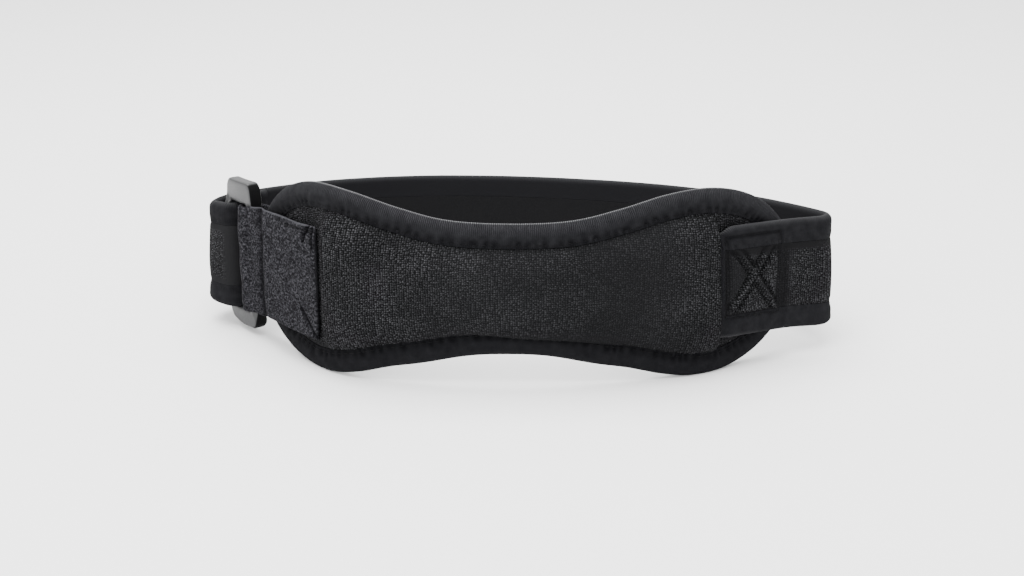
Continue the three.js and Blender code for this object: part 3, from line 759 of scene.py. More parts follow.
def wrap_strap(s, n, z):
    """Points of the strap's flat cut, with its bends and sewn end drawn as they are worn."""
    s, n, z = np.broadcast_arrays(s, n, z)
    up = z / (STRAP_HEIGHT / 2)
    n = (n + strap_half) * (1 - STRAP_END_PRESS * near(s, 0, STRAP_END_PRESS_REACH)) - strap_half
    n = n + (STRAP_LEFT_BULGE - STRAP_SPLAY * up) * near(s, left_bend_at, STRAP_LEFT_BULGE_REACH)
    n = n + (STRAP_RIGHT_BULGE - STRAP_SPLAY * up) * near(s, right_bend_at, STRAP_RIGHT_BULGE_REACH)
    s = s - STRAP_END_SLANT * up * near(s, 0, STRAP_END_SLANT_REACH)
    at = s / strap_length
    spread = 1 + (STRAP_LOOP_HEIGHT / STRAP_HEIGHT - 1) * smooth_steps(at, STRAP_SPREAD)
    spread = spread - STRAP_CORNER_DRAW * near(s, left_bend_at, STRAP_CORNER_DRAW_REACH)
    rounded = STRAP_END_ROUND * np.clip(up, 0, 1) ** 6 * near(s, 0, STRAP_END_ROUND_REACH)
    return wrap(strap_path, s, n, z * spread - rounded - STRAP_BACK_DROP * smooth_steps(at, STRAP_DROP))


# Sewn box with a cross, which fixes the strap's end on the pad: lines of stitches that
# sink in, and two crossed arms of knit that stand up between them.
BOX_LEFT = 0.0028
BOX_RIGHT = 0.0248
BOX_TOP = 0.0158
BOX_BOTTOM = -0.0118
BOX_GROOVE = 0.0011
BOX_GROOVE_HALF = 0.0010
CROSS_ARM = 0.0009
CROSS_ARM_HALF = 0.0007
CROSS_VALLEY = 0.0010
CROSS_VALLEY_AT = (0.0017, 0.0008)
BOX_PILLOW = 0.0003
BOX_PILLOW_RUN = 0.003
BOX_HOLLOW = 0.0004
PINCH_DEPTH = 0.0014
PINCH_FROM_BOX = 0.0024
PINCH_WIDTH = 0.0019
PINCH_HEIGHT = 0.0135
STRAP_WAVE = 0.00022
STRAP_WAVE_LENGTH = 0.030
STRAP_WAVE_HEIGHT = 0.022
box_corners = [(BOX_LEFT, BOX_TOP), (BOX_RIGHT, BOX_TOP), (BOX_RIGHT, BOX_BOTTOM), (BOX_LEFT, BOX_BOTTOM)]
box_lines = list(zip(box_corners, box_corners[1:] + box_corners[:1]))
cross_lines = [(box_corners[0], box_corners[2]), (box_corners[3], box_corners[1])]


def from_line(s, z, line):
    """Distance from a straight line between two points."""
    (s0, z0), (s1, z1) = line
    length = math.hypot(s1 - s0, z1 - z0)
    t = np.clip(((s - s0) * (s1 - s0) + (z - z0) * (z1 - z0)) / length**2, 0, 1)
    return np.hypot(s - s0 - t * (s1 - s0), z - z0 - t * (z1 - z0))


def from_lines(s, z, lines):
    return np.min([from_line(s, z, line) for line in lines], axis=0)


def strap_relief(s, z):
    """Height of the outer knit over its plain face: the sewn box, the pinch and soft waves."""
    from_box = from_lines(s, z, box_lines)
    from_cross = from_lines(s, z, cross_lines)
    in_box = (s > BOX_LEFT) & (s < BOX_RIGHT) & (z > BOX_BOTTOM) & (z < BOX_TOP)
    from_seams = np.minimum(from_box, from_cross)
    from_side = np.abs(2 * (s - BOX_LEFT) / (BOX_RIGHT - BOX_LEFT) - 1)
    above = (z - BOX_BOTTOM) / (BOX_TOP - BOX_BOTTOM) + from_side / 2
    stuffed = CROSS_ARM * near(from_cross, 0, CROSS_ARM_HALF)
    stuffed = stuffed - CROSS_VALLEY * near(from_cross, *CROSS_VALLEY_AT)
    stuffed = stuffed + BOX_PILLOW * (1 - near(from_seams, 0, BOX_PILLOW_RUN))
    stuffed = stuffed - BOX_HOLLOW * np.clip((above - 1) * 5, 0, 1)
    groove = BOX_GROOVE * near(from_box, 0, BOX_GROOVE_HALF)
    pinch = PINCH_DEPTH * near(s, BOX_RIGHT + PINCH_FROM_BOX, PINCH_WIDTH) * near(z, 0, PINCH_HEIGHT, 4)
    wave = STRAP_WAVE * unrest(s / STRAP_WAVE_LENGTH, z / STRAP_WAVE_HEIGHT, 12)
    return np.where(in_box, stuffed, 0) - groove - pinch + wave


def tube_faces(rows, count):
    """Quads round a tube, with both its ends closed."""
    ends = [list(range(count)), list(range((rows - 1) * count, rows * count))[::-1]]
    return strip_faces(rows, count) + ends


STRAP_STEP = 0.0009
STRAP_FINE_STEP = 0.0004
STRAP_FINE_RUN = 0.030
STRAP_RIM_INSET = 0.0012
STRAP_FACE_INSET = 0.0004
STRAP_FACE_RISE = 0.0002
STRAP_FACE_PLUMP = 0.0004
STRAP_RISE_RUN = 0.0012
STRAP_WALL_RUN = 0.00004
STRAP_LEVELS = 47
STRAP_LEVELS_FROM_TAPE = 0.0005
STRAP_UNDER_LEVELS = (0.002, 0, -0.00005, -0.0002)
STRAP_KNIT_GROUND = (0.002, 0.002, 0.0022, 1)
STRAP_KNIT_LOOPS = (0.060, 0.060, 0.064, 1)
STRAP_KNIT_DEPTH = 0.0004
PLAIN_TOP_INSET = 0.0030
PLAIN_TOP_RUN = 0.0012
PLAIN_TOP_STEPS = [(0.038, 1), (0.050, 0)]
PLAIN_SIDE_RUN = 0.0015
PLAIN_END_LENGTH = 0.0048
PLAIN_PINCH_FROM_BOX = 0.0026
PLAIN_PINCH_WIDTH = 0.0030
PLAIN_PAST_CORNER = 0.0135
RING_SHADE_BEFORE_CORNER = 0.004
RING_SHADE_HEIGHT = 0.0076
SUNK_FULL_DEPTH = 0.0018
SUNK_PAST_BOX = 0.006

stations = np.concatenate([
    np.arange(STRAP_RIM_INSET, STRAP_FINE_RUN, STRAP_FINE_STEP),
    np.arange(STRAP_FINE_RUN, strap_length, STRAP_STEP), [strap_length],
])
channel = strap_half - TAPE_THICKNESS - LAY_GAP
bind_inner = STRAP_HEIGHT / 2 - STRAP_BIND_WIDTH - LAY_GAP
under_tape = np.array([
    STRAP_HEIGHT / 2 - STRAP_RIM_INSET, *(bind_inner + step for step in STRAP_UNDER_LEVELS),
])
shown_top = bind_inner - STRAP_LEVELS_FROM_TAPE
shown_face = np.linspace(shown_top, -shown_top, STRAP_LEVELS)
s, z = np.meshgrid(stations, np.concatenate([under_tape, shown_face, -under_tape[::-1]]), indexing="ij")
off_tape = np.minimum(bind_inner - np.abs(z), s - STRAP_END_BIND)
face_rise = ramp(off_tape, 0, STRAP_RISE_RUN) ** 0.6
face_plump = STRAP_FACE_PLUMP * (1 - np.clip(np.abs(z) / bind_inner, 0, 1) ** 3)
wall = ramp(off_tape, 0, STRAP_WALL_RUN)
outer_n = channel + wall * (strap_half - STRAP_FACE_INSET - channel)
outer_n = outer_n + face_rise * (STRAP_FACE_RISE + face_plump + strap_relief(s, z))
inner_n = -(channel + wall * (strap_half - channel))
meeting = np.where(np.abs(z) <= bind_inner, z * (1 + 0.9 * LAY_GAP / bind_inner), z)
flat_s = np.concatenate([s, s[:, ::-1]], 1)
flat_z = np.concatenate([meeting, meeting[:, ::-1]], 1)
flat_n = np.concatenate([outer_n, inner_n[:, ::-1]], 1)
strap_cloth = knit_material("strap_knit", STRAP_KNIT_GROUND, STRAP_KNIT_LOOPS, STRAP_KNIT_DEPTH)
strap = cloth_mesh(
    "strap_band", wrap_strap(flat_s, flat_n, flat_z), tube_faces(*flat_s.shape),
    np.stack([flat_s, flat_z], -1).reshape(-1, 2), strap_cloth,
)

# Painted shade: the knit is drawn plain and dark along the tape, at the sewn end, in the pinch, by the
# ring and in two quarters of the box; the inside is plain lining.
across_box = (s - (BOX_RIGHT + BOX_LEFT) / 2) / (BOX_RIGHT - BOX_LEFT)
up_box = (z - (BOX_TOP + BOX_BOTTOM) / 2) / (BOX_TOP - BOX_BOTTOM)
left_of_cross = np.clip((-across_box - np.abs(up_box) - 0.06) * 5, 0, 0.7) * (across_box > -0.5)
above_cross = np.clip((up_box - np.abs(across_box) - 0.06) * 5, 0, 0.7) * (up_box < 0.5)
plain_top = ramp(z, bind_inner - PLAIN_TOP_INSET, PLAIN_TOP_RUN) * smooth_steps(s, PLAIN_TOP_STEPS)
plain_end = np.clip((PLAIN_END_LENGTH - s) / PLAIN_SIDE_RUN, 0, 0.8)
plain_pinch = 0.75 * near(s, BOX_RIGHT + PLAIN_PINCH_FROM_BOX, PLAIN_PINCH_WIDTH, 4)
plain_ring = ramp(s, corner_at + PLAIN_PAST_CORNER, PLAIN_SIDE_RUN)
past_corner = s > corner_at - RING_SHADE_BEFORE_CORNER
near_ring = ramp(np.abs(z), RING_SHADE_HEIGHT, PLAIN_SIDE_RUN) * past_corner
plain = np.maximum.reduce([
    plain_top, plain_end, plain_pinch, plain_ring, near_ring, left_of_cross, above_cross,
])
# Painted shade darkens the sunk seams and grooves, two quarters of the box and the plain top; the inside
# gets a plain darker tone.
sunk = np.clip(-strap_relief(s, z) / SUNK_FULL_DEPTH, 0, 0.6) * (s < BOX_RIGHT + SUNK_PAST_BOX)
sunk = np.maximum.reduce([sunk, 0.5 * left_of_cross, 0.5 * plain_top])
mark(strap, "lining_and_shade", np.concatenate([plain, 0 * inner_n + 1], 1))
mark(strap, "shade_and_tone", np.concatenate([sunk, 0 * inner_n + 0.27], 1))
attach(strap, "root")
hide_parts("strap")

# Strap binding.
# The same tape, folded along both edges of the strap and across its sewn end, with
# mitred corners. Its seam presses in the outer face only, less deeply than the pad's.
STRAP_FOLD_REACH = 0.0021
STRAP_TAPE_FINE_STEP = 0.0006
STRAP_SEAM_DEPTH = 0.55
STRAP_TAPE_WAVE = 0.00012
MITRE_REACH = 0.012
END_TAPE_ROWS = 46
BOX_STITCH_DEPTH = 0.0009
BOX_STITCH_HALF = 0.0007
LINING_FROM = -0.0004
END_HIGHLIGHT_REACH = 0.016

x, y, across_run, outer, fold_share = tape_section(STRAP_BIND_WIDTH, strap_half, STRAP_FOLD_REACH)
runs = np.concatenate([
    np.arange(0, STRAP_FINE_RUN, STRAP_TAPE_FINE_STEP),
    np.arange(STRAP_FINE_RUN, strap_length, STRAP_STEP), [strap_length],
])
slant = STRAP_END_BIND / STRAP_BIND_WIDTH
mitre = np.exp(-runs[:, None] / MITRE_REACH) * (1 - runs[:, None] / strap_length)
long_s = runs[:, None] + slant * x[None] * mitre
long_z = np.broadcast_to(STRAP_HEIGHT / 2 - x[None], long_s.shape)
end_turns = np.linspace(1, -1, END_TAPE_ROWS + 2)[1:-1, None]
end_s = np.broadcast_to(slant * x[None], (len(end_turns), len(x)))
end_z = (STRAP_HEIGHT / 2 - x[None]) * end_turns
tape_s = np.vstack([long_s[::-1], end_s, long_s])
tape_z = np.vstack([long_z[::-1], end_z, -long_z])
tape_run = np.concatenate([-runs[::-1], STRAP_HEIGHT / 2 * (1 - end_turns[:, 0]), STRAP_HEIGHT + runs])
shape = tape_s.shape
along_tape = np.broadcast_to(tape_run[:, None], shape)
lift = sewn_down(
    x[None], y[None], along_tape, outer[None], STRAP_BIND_WIDTH, strap_half,
    back=0, depth=STRAP_SEAM_DEPTH,
)
stitched_in = near(from_lines(tape_s, tape_z, box_lines), 0, BOX_STITCH_HALF)
stitched_in = stitched_in * outer * np.clip(y / strap_half, 0, 1)
lift = lift - BOX_STITCH_DEPTH * stitched_in
tape_wave = unrest(tape_s / STRAP_WAVE_LENGTH, tape_z / STRAP_WAVE_HEIGHT, 12)
lift = lift + STRAP_TAPE_WAVE * tape_wave
strap_binding = cloth_mesh(
    "strap_binding_tape", wrap_strap(tape_s, lift, tape_z), tube_faces(*shape),
    np.stack([along_tape, np.broadcast_to(across_run, shape)], -1).reshape(-1, 2),
    tape,
)
# Painted highlight along the upper fold and along the lower fold near the sewn end; painted shade in the
# box stitches, on a plain darker tone of the front leg.
front_leg = outer * (y > LINING_FROM)
fold_mark = 0.2 * (1 - fold_share) * outer * (x < STRAP_FOLD_REACH)
at_pad = 1.8 * near(tape_s, 0, END_HIGHLIGHT_REACH, 4)
mark(strap_binding, "fold", np.broadcast_to(fold_mark, shape) * np.where(tape_z > 0, 1, at_pad))
mark(strap_binding, "rib", np.broadcast_to(0.04 * front_leg, shape))
mark(strap_binding, "shade_and_tone", 0.25 * front_leg + 0.5 * stitched_in)
mark(strap_binding, "lining_and_shade", np.broadcast_to(1.0 * (y < LINING_FROM), shape))
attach(strap_binding, "root")
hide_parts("strap_binding")

# Ring.
# A moulded plastic ring with two upright bars and two thicker caps, its edges well
# rounded. The strap turns round the outer bar and the tab round the inner one.
RING_CAP_HEIGHT = 0.0064
RING_CAP_THICKNESS = 0.0052
RING_CAP_TAPER = 0.10
RING_CORNER_RADIUS = 0.0026
RING_SLOT_RADIUS = 0.0012
RING_SQUARENESS = 0.34
RING_SECTION_POINTS = 72
RING_DROP = 0.0008
RING_RAISE = 0.0016
RING_UPPER_BOW = 0.0023
RING_LOWER_BOW = 0.0015
RING_LOWER_LIFT = 0.0024
RING_LOWER_FROM = -0.020
RING_PALE = (0.040, 0.0405, 0.0414, 1)
RING_GREY = (0.026, 0.0265, 0.0272, 1)
RING_SHADE_COLOUR = (0.003, 0.003, 0.0032, 1)
RING_GRAIN_DEPTH = 0.00004
# Where forms start, and over what run: the caps and their taper by height, and the lift of
# the lower cap's outer corner across the ring.
RING_CAP_AT = (0.0196, 0.0008)
RING_TAPER_AT = (0.0190, 0.007)
RING_LIFT_AT = (0.002, -0.0115)
RING_BOW_STEPS = [(0.0180, 0), (0.0199, 1)]


def rounded_outline(width, height, radius):
    """Rounded rectangle with the same number of points whatever its size."""
    turns = np.radians(np.arange(0, 90.1, 6))
    arcs = []
    for number, (sign_x, sign_y) in enumerate([(1, 1), (-1, 1), (-1, -1), (1, -1)]):
        centre = (sign_x * (width / 2 - radius), sign_y * (height / 2 - radius))
        angle = turns + number * math.pi / 2
        arcs.append(centre + radius * np.stack([np.cos(angle), np.sin(angle)], -1))
    outline = []
    for arc, after in zip(arcs, arcs[1:] + arcs[:1]):
        straight = arc[-1] + (after[0] - arc[-1]) * np.linspace(0, 1, 12)[1:-1, None]
        outline += [arc, straight]
    return np.concatenate(outline)


def squared(turn):
    """A cosine or sine filled out towards a square."""
    return np.sign(turn) * np.abs(turn) ** RING_SQUARENESS


ring_outer = rounded_outline(RING_WIDTH, RING_HEIGHT, RING_CORNER_RADIUS)
ring_outer[ring_outer[:, 1] > 0, 1] += RING_RAISE
low_lift = RING_LOWER_LIFT * ramp(ring_outer[:, 0], *RING_LIFT_AT) ** 2
ring_outer[:, 1] += np.where(ring_outer[:, 1] < RING_LOWER_FROM, low_lift, 0)
slot_width = RING_WIDTH - 2 * RING_BAR_WIDTH
ring_inner = rounded_outline(slot_width, RING_HEIGHT - 2 * RING_CAP_HEIGHT, RING_SLOT_RADIUS)
middle = (ring_outer + ring_inner) / 2
half_width = (ring_outer - ring_inner) / 2
angle = np.linspace(0, 2 * math.pi, RING_SECTION_POINTS, endpoint=False)
capped = ramp(np.abs(ring_outer[:, 1:]), *RING_CAP_AT)
thick = RING_THICKNESS + (RING_CAP_THICKNESS - RING_THICKNESS) * capped
flat_ring = middle[:, None] + half_width[:, None] * squared(np.cos(angle))[None, :, None]
flat_ring[..., 0] *= 1 - RING_CAP_TAPER * ramp(np.abs(flat_ring[..., 1]), *RING_TAPER_AT)
bow = np.where(flat_ring[..., 1] > 0, RING_UPPER_BOW, RING_LOWER_BOW)
bow = bow * smooth_steps(np.abs(flat_ring[..., 1]), RING_BOW_STEPS)
from_right = (RING_WIDTH / 2 - flat_ring[..., 0]) / RING_WIDTH
deep = thick / 2 * squared(np.sin(angle))[None] - bow * from_right ** 2
turned = math.radians(ring_heading)
ring_points = np.stack([
    ring_x + flat_ring[..., 0] * math.cos(turned) + deep * math.sin(turned),
    ring_y + flat_ring[..., 0] * math.sin(turned) - deep * math.cos(turned),
    flat_ring[..., 1] - RING_DROP,
], -1).reshape(-1, 3)

plastic, tree, shader = new_material("ring_plastic", 0.42, 0.5)
place = wire(tree, "ShaderNodeTexCoord").outputs["Object"]
fine = noise(tree, place, 1800.0, 3.0)
# Painted shade: where marked, the ring is drawn darker and less shiny.
ring_shade = marked(tree, "ring_shade")
colour = blend(tree, noise(tree, place, 90.0), RING_GREY, RING_PALE)
tree.links.new(scaled(tree, ring_shade, -0.34, 0.38), shader.inputs["Specular IOR Level"])
tree.links.new(scaled(tree, fine, 0.2, 0.34), shader.inputs["Roughness"])
finish_material(tree, shader, blend(tree, ring_shade, colour, RING_SHADE_COLOUR), fine, RING_GRAIN_DEPTH, 0.6)
ring = cloth_mesh(
    "moulded_ring", stand(ring_points),
    [face[::-1] for face in strip_faces(*flat_ring.shape[:2], closed=True)],
    flat_ring.reshape(-1, 2), plastic,
)

# Painted shade: the ring is drawn darker and less shiny on its right-hand side, along the edges of its
# faces and on its lower cap.
ahead = np.roll(ring_outer, -1, axis=0) - np.roll(ring_outer, 1, axis=0)
upright = ahead[:, 1:] / np.linalg.norm(ahead, axis=1)[:, None]
facing_right = smooth_steps(upright, [(0.35, 0), (0.75, 1)])
degrees = np.degrees(angle)[None]
on_side = smooth_steps(degrees, [(36, 1), (44, 0), (316, 0), (324, 1)])
edge_line = near(degrees, 45, 5) + near(degrees, 315, 5)
low_cap = 0.35 * (middle[:, 1:] < 0)
mark(ring, "ring_shade", np.clip(facing_right * on_side + 0.5 * edge_line + low_cap, 0, 1))
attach(ring, "root")
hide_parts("ring")

# Fastening tab.
# A folded strip of brushed loop cloth on thin foam. Its back leg is sewn behind the pad,
# it turns round the ring's inner bar, and its front leg lies over the pad's left end.
TAB_HEIGHT = 0.0394
TAB_BACK_LAP = 0.023
TAB_BY_RING = 0.0010
TAB_EDGE_ROUND = 0.0008
TAB_STEP = 0.0007
TAB_FINE_STEP = 0.00035
TAB_FINE_RUN = 0.012
TAB_LEVELS = 80
TAB_END_THIN = 0.0008
TAB_SIDE_THIN = 0.0016
TAB_WAVE = 0.0003
TAB_WAVE_LENGTHS = (0.017, 0.014)
TAB_DENT = 0.0006
TAB_DENT_AT = 0.0108
TAB_DENT_STRAY = 0.0006
TAB_DENT_WIDTH = 0.0016
TAB_DENT_CURVE = 0.006
TAB_HEM = 0.00035
TAB_HEM_INSET = 0.0018
TAB_HEM_HALF = 0.0005
TAB_HEM_LENGTH = 0.022
TAB_RIM = 0.0003
TAB_RIM_FROM = 0.004
TAB_SUNK_FULL = 0.0008
TAB_GROUND = (0.0015, 0.0015, 0.002, 1)
TAB_NAP = (0.042, 0.0415, 0.0465, 1)
TAB_RIM_HIGHLIGHT = (0.045, 0.045, 0.05, 1)
TAB_NAP_DEPTH = 0.00022
# Along the front leg, from where the tab leaves the ring: place, and share sunk in or rise.
TAB_LOW_PART = [(0, 0), (0.004, 1), (0.0105, 1), (0.0140, 0)]
TAB_UPPER_RISE = [(0, 0), (0.004, 0.0005), (0.0108, 0.0012), (0.020, 0.0009), (0.034, 0)]
TAB_LOWER_RISE = [
    (-0.004, 0), (0, 0.0009), (0.0098, 0.0009), (0.0122, 0.0015), (0.020, 0.0010),
    (0.030, 0.0002), (0.036, 0),
]
# Folds in from the edges near the tab's end: edge (1 upper, -1 lower), start and finish
# from the end, reach from the edge, width, depth.
TAB_END_FOLDS = [
    (-1, 0.0, 0.0085, 0.0095, 0.0006, 0.0010),
    (1, 0.0030, 0.0062, 0.0060, 0.0005, 0.0014),
    (1, 0.0012, 0.0016, 0.0075, 0.0004, 0.0009),
]

tab_back_end = pad_left_end - TAB_BACK_LAP
to_bar = -ring_along - bar_from_ring - tab_back_end
tab_x, tab_y, _ = beside(front_path, -tab_back_end, tab_back_middle)
tab_path = trace_path(tab_x, tab_y, ring_heading + 180, [
    (to_bar, 0),
    (tab_turn_radius * math.pi, 180),
    (-ring_along - bar_from_ring - tab_front_end, 0),
])
tab_length = tab_path[-1, 0]

fuzz, given, result = new_group("brushed_fuzz", {}, ["Height", "Tone"])
coarse = noise(fuzz, given["Cut"], 1500.0, 4.0, 0.75)
tufts = wire(fuzz, "ShaderNodeTexVoronoi", {"Vector": given["Cut"], "Scale": 1300.0}).outputs
tuft = wire(fuzz, "ShaderNodeSeparateColor", {0: tufts["Color"]}).outputs[0]
contrast = wire(fuzz, "ShaderNodeMapRange", {0: coarse, 1: 0.40, 2: 0.68}).outputs[0]
speckle = times(fuzz, contrast, scaled(fuzz, tuft, 1.3, 0.25))
soft = math_node(fuzz, "ADD", noise(fuzz, given["Cut"], 260.0, 3.0), 0.5)
fuzz.links.new(math_node(fuzz, "ADD", coarse, times(fuzz, tufts["Distance"], -0.5)), result["Height"])
fuzz.links.new(times(fuzz, speckle, soft), result["Tone"])

brushed, tree, shader = new_material("brushed_loop", 1.0, 0.03)
flat = wire(tree, "ShaderNodeUVMap", uv_map="cut").outputs[0]
nap = wire(tree, "ShaderNodeGroup", {"Cut": flat}, node_tree=fuzz).outputs
tone = times(tree, nap["Tone"], unmarked(tree, "shade_and_tone"))
# Painted highlight along the top edge, and painted shade where marked.
colour = blend(tree, marked(tree, "rim"), blend(tree, tone, TAB_GROUND, TAB_NAP), TAB_RIM_HIGHLIGHT)
finish_material(tree, shader, colour, nap["Height"], TAB_NAP_DEPTH, 0.9)

tab_half = TAB_THICKNESS / 2
tab_top = TAB_HEIGHT / 2
face_top = tab_top - TAB_EDGE_ROUND
face_z = np.linspace(face_top, -face_top, TAB_LEVELS)
edge_turn = np.linspace(math.pi / 2, -math.pi / 2, 9)[1:-1]
round_z = TAB_EDGE_ROUND * np.cos(edge_turn)
round_n = tab_half * np.sin(edge_turn)
section_z = np.concatenate([face_z, -face_top - round_z, face_z[::-1], face_top + round_z[::-1]])
section_n = np.concatenate([0 * face_z + tab_half, round_n, 0 * face_z - tab_half, round_n[::-1]])
stations = np.concatenate([
    np.arange(0, tab_length - TAB_FINE_RUN, TAB_STEP),
    np.arange(tab_length - TAB_FINE_RUN, tab_length, TAB_FINE_STEP), [tab_length],
])
s, z = np.meshgrid(stations, section_z, indexing="ij")
n = np.broadcast_to(section_n, s.shape)
from_end = tab_length - s
from_turn = s - to_bar - tab_turn_radius * math.pi
outside = np.clip(n / tab_half, 0, 1)
low_part = smooth_steps(from_turn, TAB_LOW_PART)
dent_at = TAB_DENT_AT + TAB_DENT_STRAY * np.sin(z / TAB_DENT_CURVE)
sunk = TAB_DENT * near(from_turn, dent_at, TAB_DENT_WIDTH)
sunk = sunk + TAB_HEM * near(z, tab_top - TAB_HEM_INSET, TAB_HEM_HALF) * (from_end < TAB_HEM_LENGTH)
for edge_side, start, finish, reach, width, depth in TAB_END_FOLDS:
    line = ((start, edge_side * tab_top), (finish, edge_side * (tab_top - reach)))
    sunk = sunk + depth * near(from_line(from_end, z, line), 0, width)
end_thinned = 1 - 0.35 * np.exp(-from_end / TAB_END_THIN)
thinned = end_thinned * (1 - 0.5 * np.exp(-(tab_top - np.abs(z)) / TAB_SIDE_THIN))
wave_length, wave_height = TAB_WAVE_LENGTHS
wave = TAB_WAVE * unrest(s / wave_length, z / wave_height, 21)
n = n * thinned + outside * (wave - sunk) - TAB_BY_RING * low_part
upper_rise = smooth_steps(from_turn, TAB_UPPER_RISE)
lower_rise = smooth_steps(from_turn, TAB_LOWER_RISE)
edge_rise = np.where(z > 0, upper_rise, lower_rise) * np.clip(np.abs(z) / tab_top, 0, 1) ** 2
tab = cloth_mesh(
    "fastening_tab_cloth", wrap(tab_path, s, n, z + edge_rise - TAB_DROP), tube_faces(*s.shape),
    np.stack([s, z + 0.1 * (section_n < 0)], -1).reshape(-1, 2), brushed,
)
# Painted highlight: a pale line along the front leg's top edge. Painted shade darkens the dent, hem, end
# folds and the part by the ring.
mark(tab, "rim", 0.6 * (z > tab_top - TAB_RIM) * (from_turn > TAB_RIM_FROM))
mark(tab, "shade_and_tone", (np.clip(sunk / TAB_SUNK_FULL, 0, 0.85) + 0.06 * low_part) * outside)
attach(tab, "root")
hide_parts("fastening_tab")

# Hook patch.
# Hook tape sewn under the tab's front leg, which grips the pad's rim and holds the tab
# closed. It is hidden between the two, so its plain solid stays and only gets its finish.
HOOK_TIPS = (0.03, 0.03, 0.032, 1)
HOOK_GROUND = (0.006, 0.006, 0.007, 1)
HOOK_DEPTH = 0.0004

hook_tape, tree, shader = new_material("hook_tape", 0.8, 0.4)
place = wire(tree, "ShaderNodeTexCoord").outputs["Object"]
hooks = wire(tree, "ShaderNodeTexVoronoi", {"Vector": place, "Scale": 700.0, "Randomness": 0.3})
colour = blend(tree, hooks.outputs["Distance"], HOOK_TIPS, HOOK_GROUND)
finish_material(tree, shader, colour, hooks.outputs["Distance"], HOOK_DEPTH)
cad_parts["hook_patch"].data.materials.clear()
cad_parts["hook_patch"].data.materials.append(hook_tape)

# Seams.
# Black polyester lockstitches hold the tapes on the pad and the strap, draw the box on the
# strap's end, and hem the tab. Each row is laid along its own seam line.
STITCH_PITCH = 0.0026
STITCH_LENGTH = 0.0021
BOX_STITCH_PITCH = 0.0022
BOX_STITCH_LENGTH = 0.0018
THREAD_RADIUS = 0.00012
THREAD_DARK = (0.002, 0.002, 0.0022, 1)
THREAD_LIGHT = (0.006, 0.006, 0.0066, 1)
THREAD_SUNK = 0.00008
PUCKER_SUNK = 0.00042
STRAP_THREAD_SUNK = 0.0003
STRAP_SEAM_FROM = 0.006
BOX_THREAD_SUNK = 0.0001
BOX_TAPE_SUNK = 0.0007
TAB_SEAM_FROM = 0.0215
TAB_SEAM_END = 0.0016
TAB_TACK_REACH = 0.0085
TAB_TACK_FROM_END = 0.0070
TAB_TACK_LEAN = 0.0016
TAB_HEM_SUNK = 0.0002
TAB_END_SUNK = 0.0001

thread, tree, shader = new_material("thread", 0.8, 0.1)
twist = noise(tree, wire(tree, "ShaderNodeTexCoord").outputs["Object"], 2600.0)
tree.links.new(blend(tree, twist, THREAD_DARK, THREAD_LIGHT), shader.inputs["Base Color"])

sewing = bpy.data.node_groups.new("sewing", "GeometryNodeTree")
sewing.interface.new_socket("Seam", in_out="INPUT", socket_type="NodeSocketGeometry")
stitch_sockets = [
    sewing.interface.new_socket(label, in_out="INPUT", socket_type="NodeSocketFloat")
    for label in ("Pitch", "Stitch length", "Thread radius")
]
sewing.interface.new_socket("Stitches", in_out="OUTPUT", socket_type="NodeSocketGeometry")
given = sewing.nodes.new("NodeGroupInput").outputs
result = sewing.nodes.new("NodeGroupOutput").inputs
curve = wire(sewing, "GeometryNodeMeshToCurve", {0: given["Seam"]})
spaced = wire(
    sewing, "GeometryNodeResampleCurve",
    {"Curve": curve.outputs[0], "Length": given["Pitch"]}, mode="LENGTH",
)
tangent = wire(sewing, "GeometryNodeInputTangent")
aligned = wire(sewing, "FunctionNodeAlignRotationToVector", {"Vector": tangent.outputs[0]}, axis="X")
bead = wire(sewing, "GeometryNodeMeshUVSphere", {"Segments": 8, "Rings": 6, "Radius": 1.0})
size = wire(sewing, "ShaderNodeCombineXYZ", {
    0: times(sewing, given["Stitch length"], 0.5),
    1: given["Thread radius"],
    2: given["Thread radius"],
})
laid = wire(sewing, "GeometryNodeInstanceOnPoints", {
    "Points": spaced.outputs[0],
    "Instance": bead.outputs[0],
    "Rotation": aligned.outputs[0],
    "Scale": size.outputs[0],
})
real = wire(sewing, "GeometryNodeRealizeInstances", {0: laid.outputs[0]})
smooth = wire(sewing, "GeometryNodeSetShadeSmooth", {0: real.outputs[0]})
threaded = wire(sewing, "GeometryNodeSetMaterial", {"Geometry": smooth.outputs[0], "Material": thread})
sewing.links.new(threaded.outputs[0], result[0])


def sew(name, lines, closed=False, pitch=STITCH_PITCH, length=STITCH_LENGTH):
    """Lays stitches along seam lines, each an open or closed row of points."""
    points, edges = [], []
    for line in lines:
        first = len(points)
        points += line.tolist()
        edges += [(first + i, first + i + 1) for i in range(len(line) - 1)]
        if closed:
            edges.append((first + len(line) - 1, first))
    mesh = bpy.data.meshes.new(name)
    mesh.from_pydata(points, edges, [])
    guide = bpy.data.objects.new(name + "_guide", mesh)
    bpy.context.scene.collection.objects.link(guide)
    modifier = guide.modifiers.new("sewing", "NODES")
    modifier.node_group = sewing
    for socket, value in zip(stitch_sockets, (pitch, length, THREAD_RADIUS)):
        modifier[socket.identifier] = value
    evaluated = guide.evaluated_get(bpy.context.evaluated_depsgraph_get())
    stitches = bpy.data.objects.new(name, bpy.data.meshes.new_from_object(evaluated))
    bpy.context.scene.collection.objects.link(stitches)
    bpy.data.objects.remove(guide)
    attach(stitches, "root")


flat_seam = bind_edge + bind_inward * (PAD_BIND_WIDTH - SEAM_FROM_EDGE)
sunk_n = pad_bind_half - THREAD_SUNK - PUCKER_SUNK * pucker(bind_run)
sew("pad_binding_stitches", [
    wrap(front_path, flat_seam[:, 0] + PAD_SHIFT, side * sunk_n, flat_seam[:, 1]) for side in (1, -1)
], closed=True)

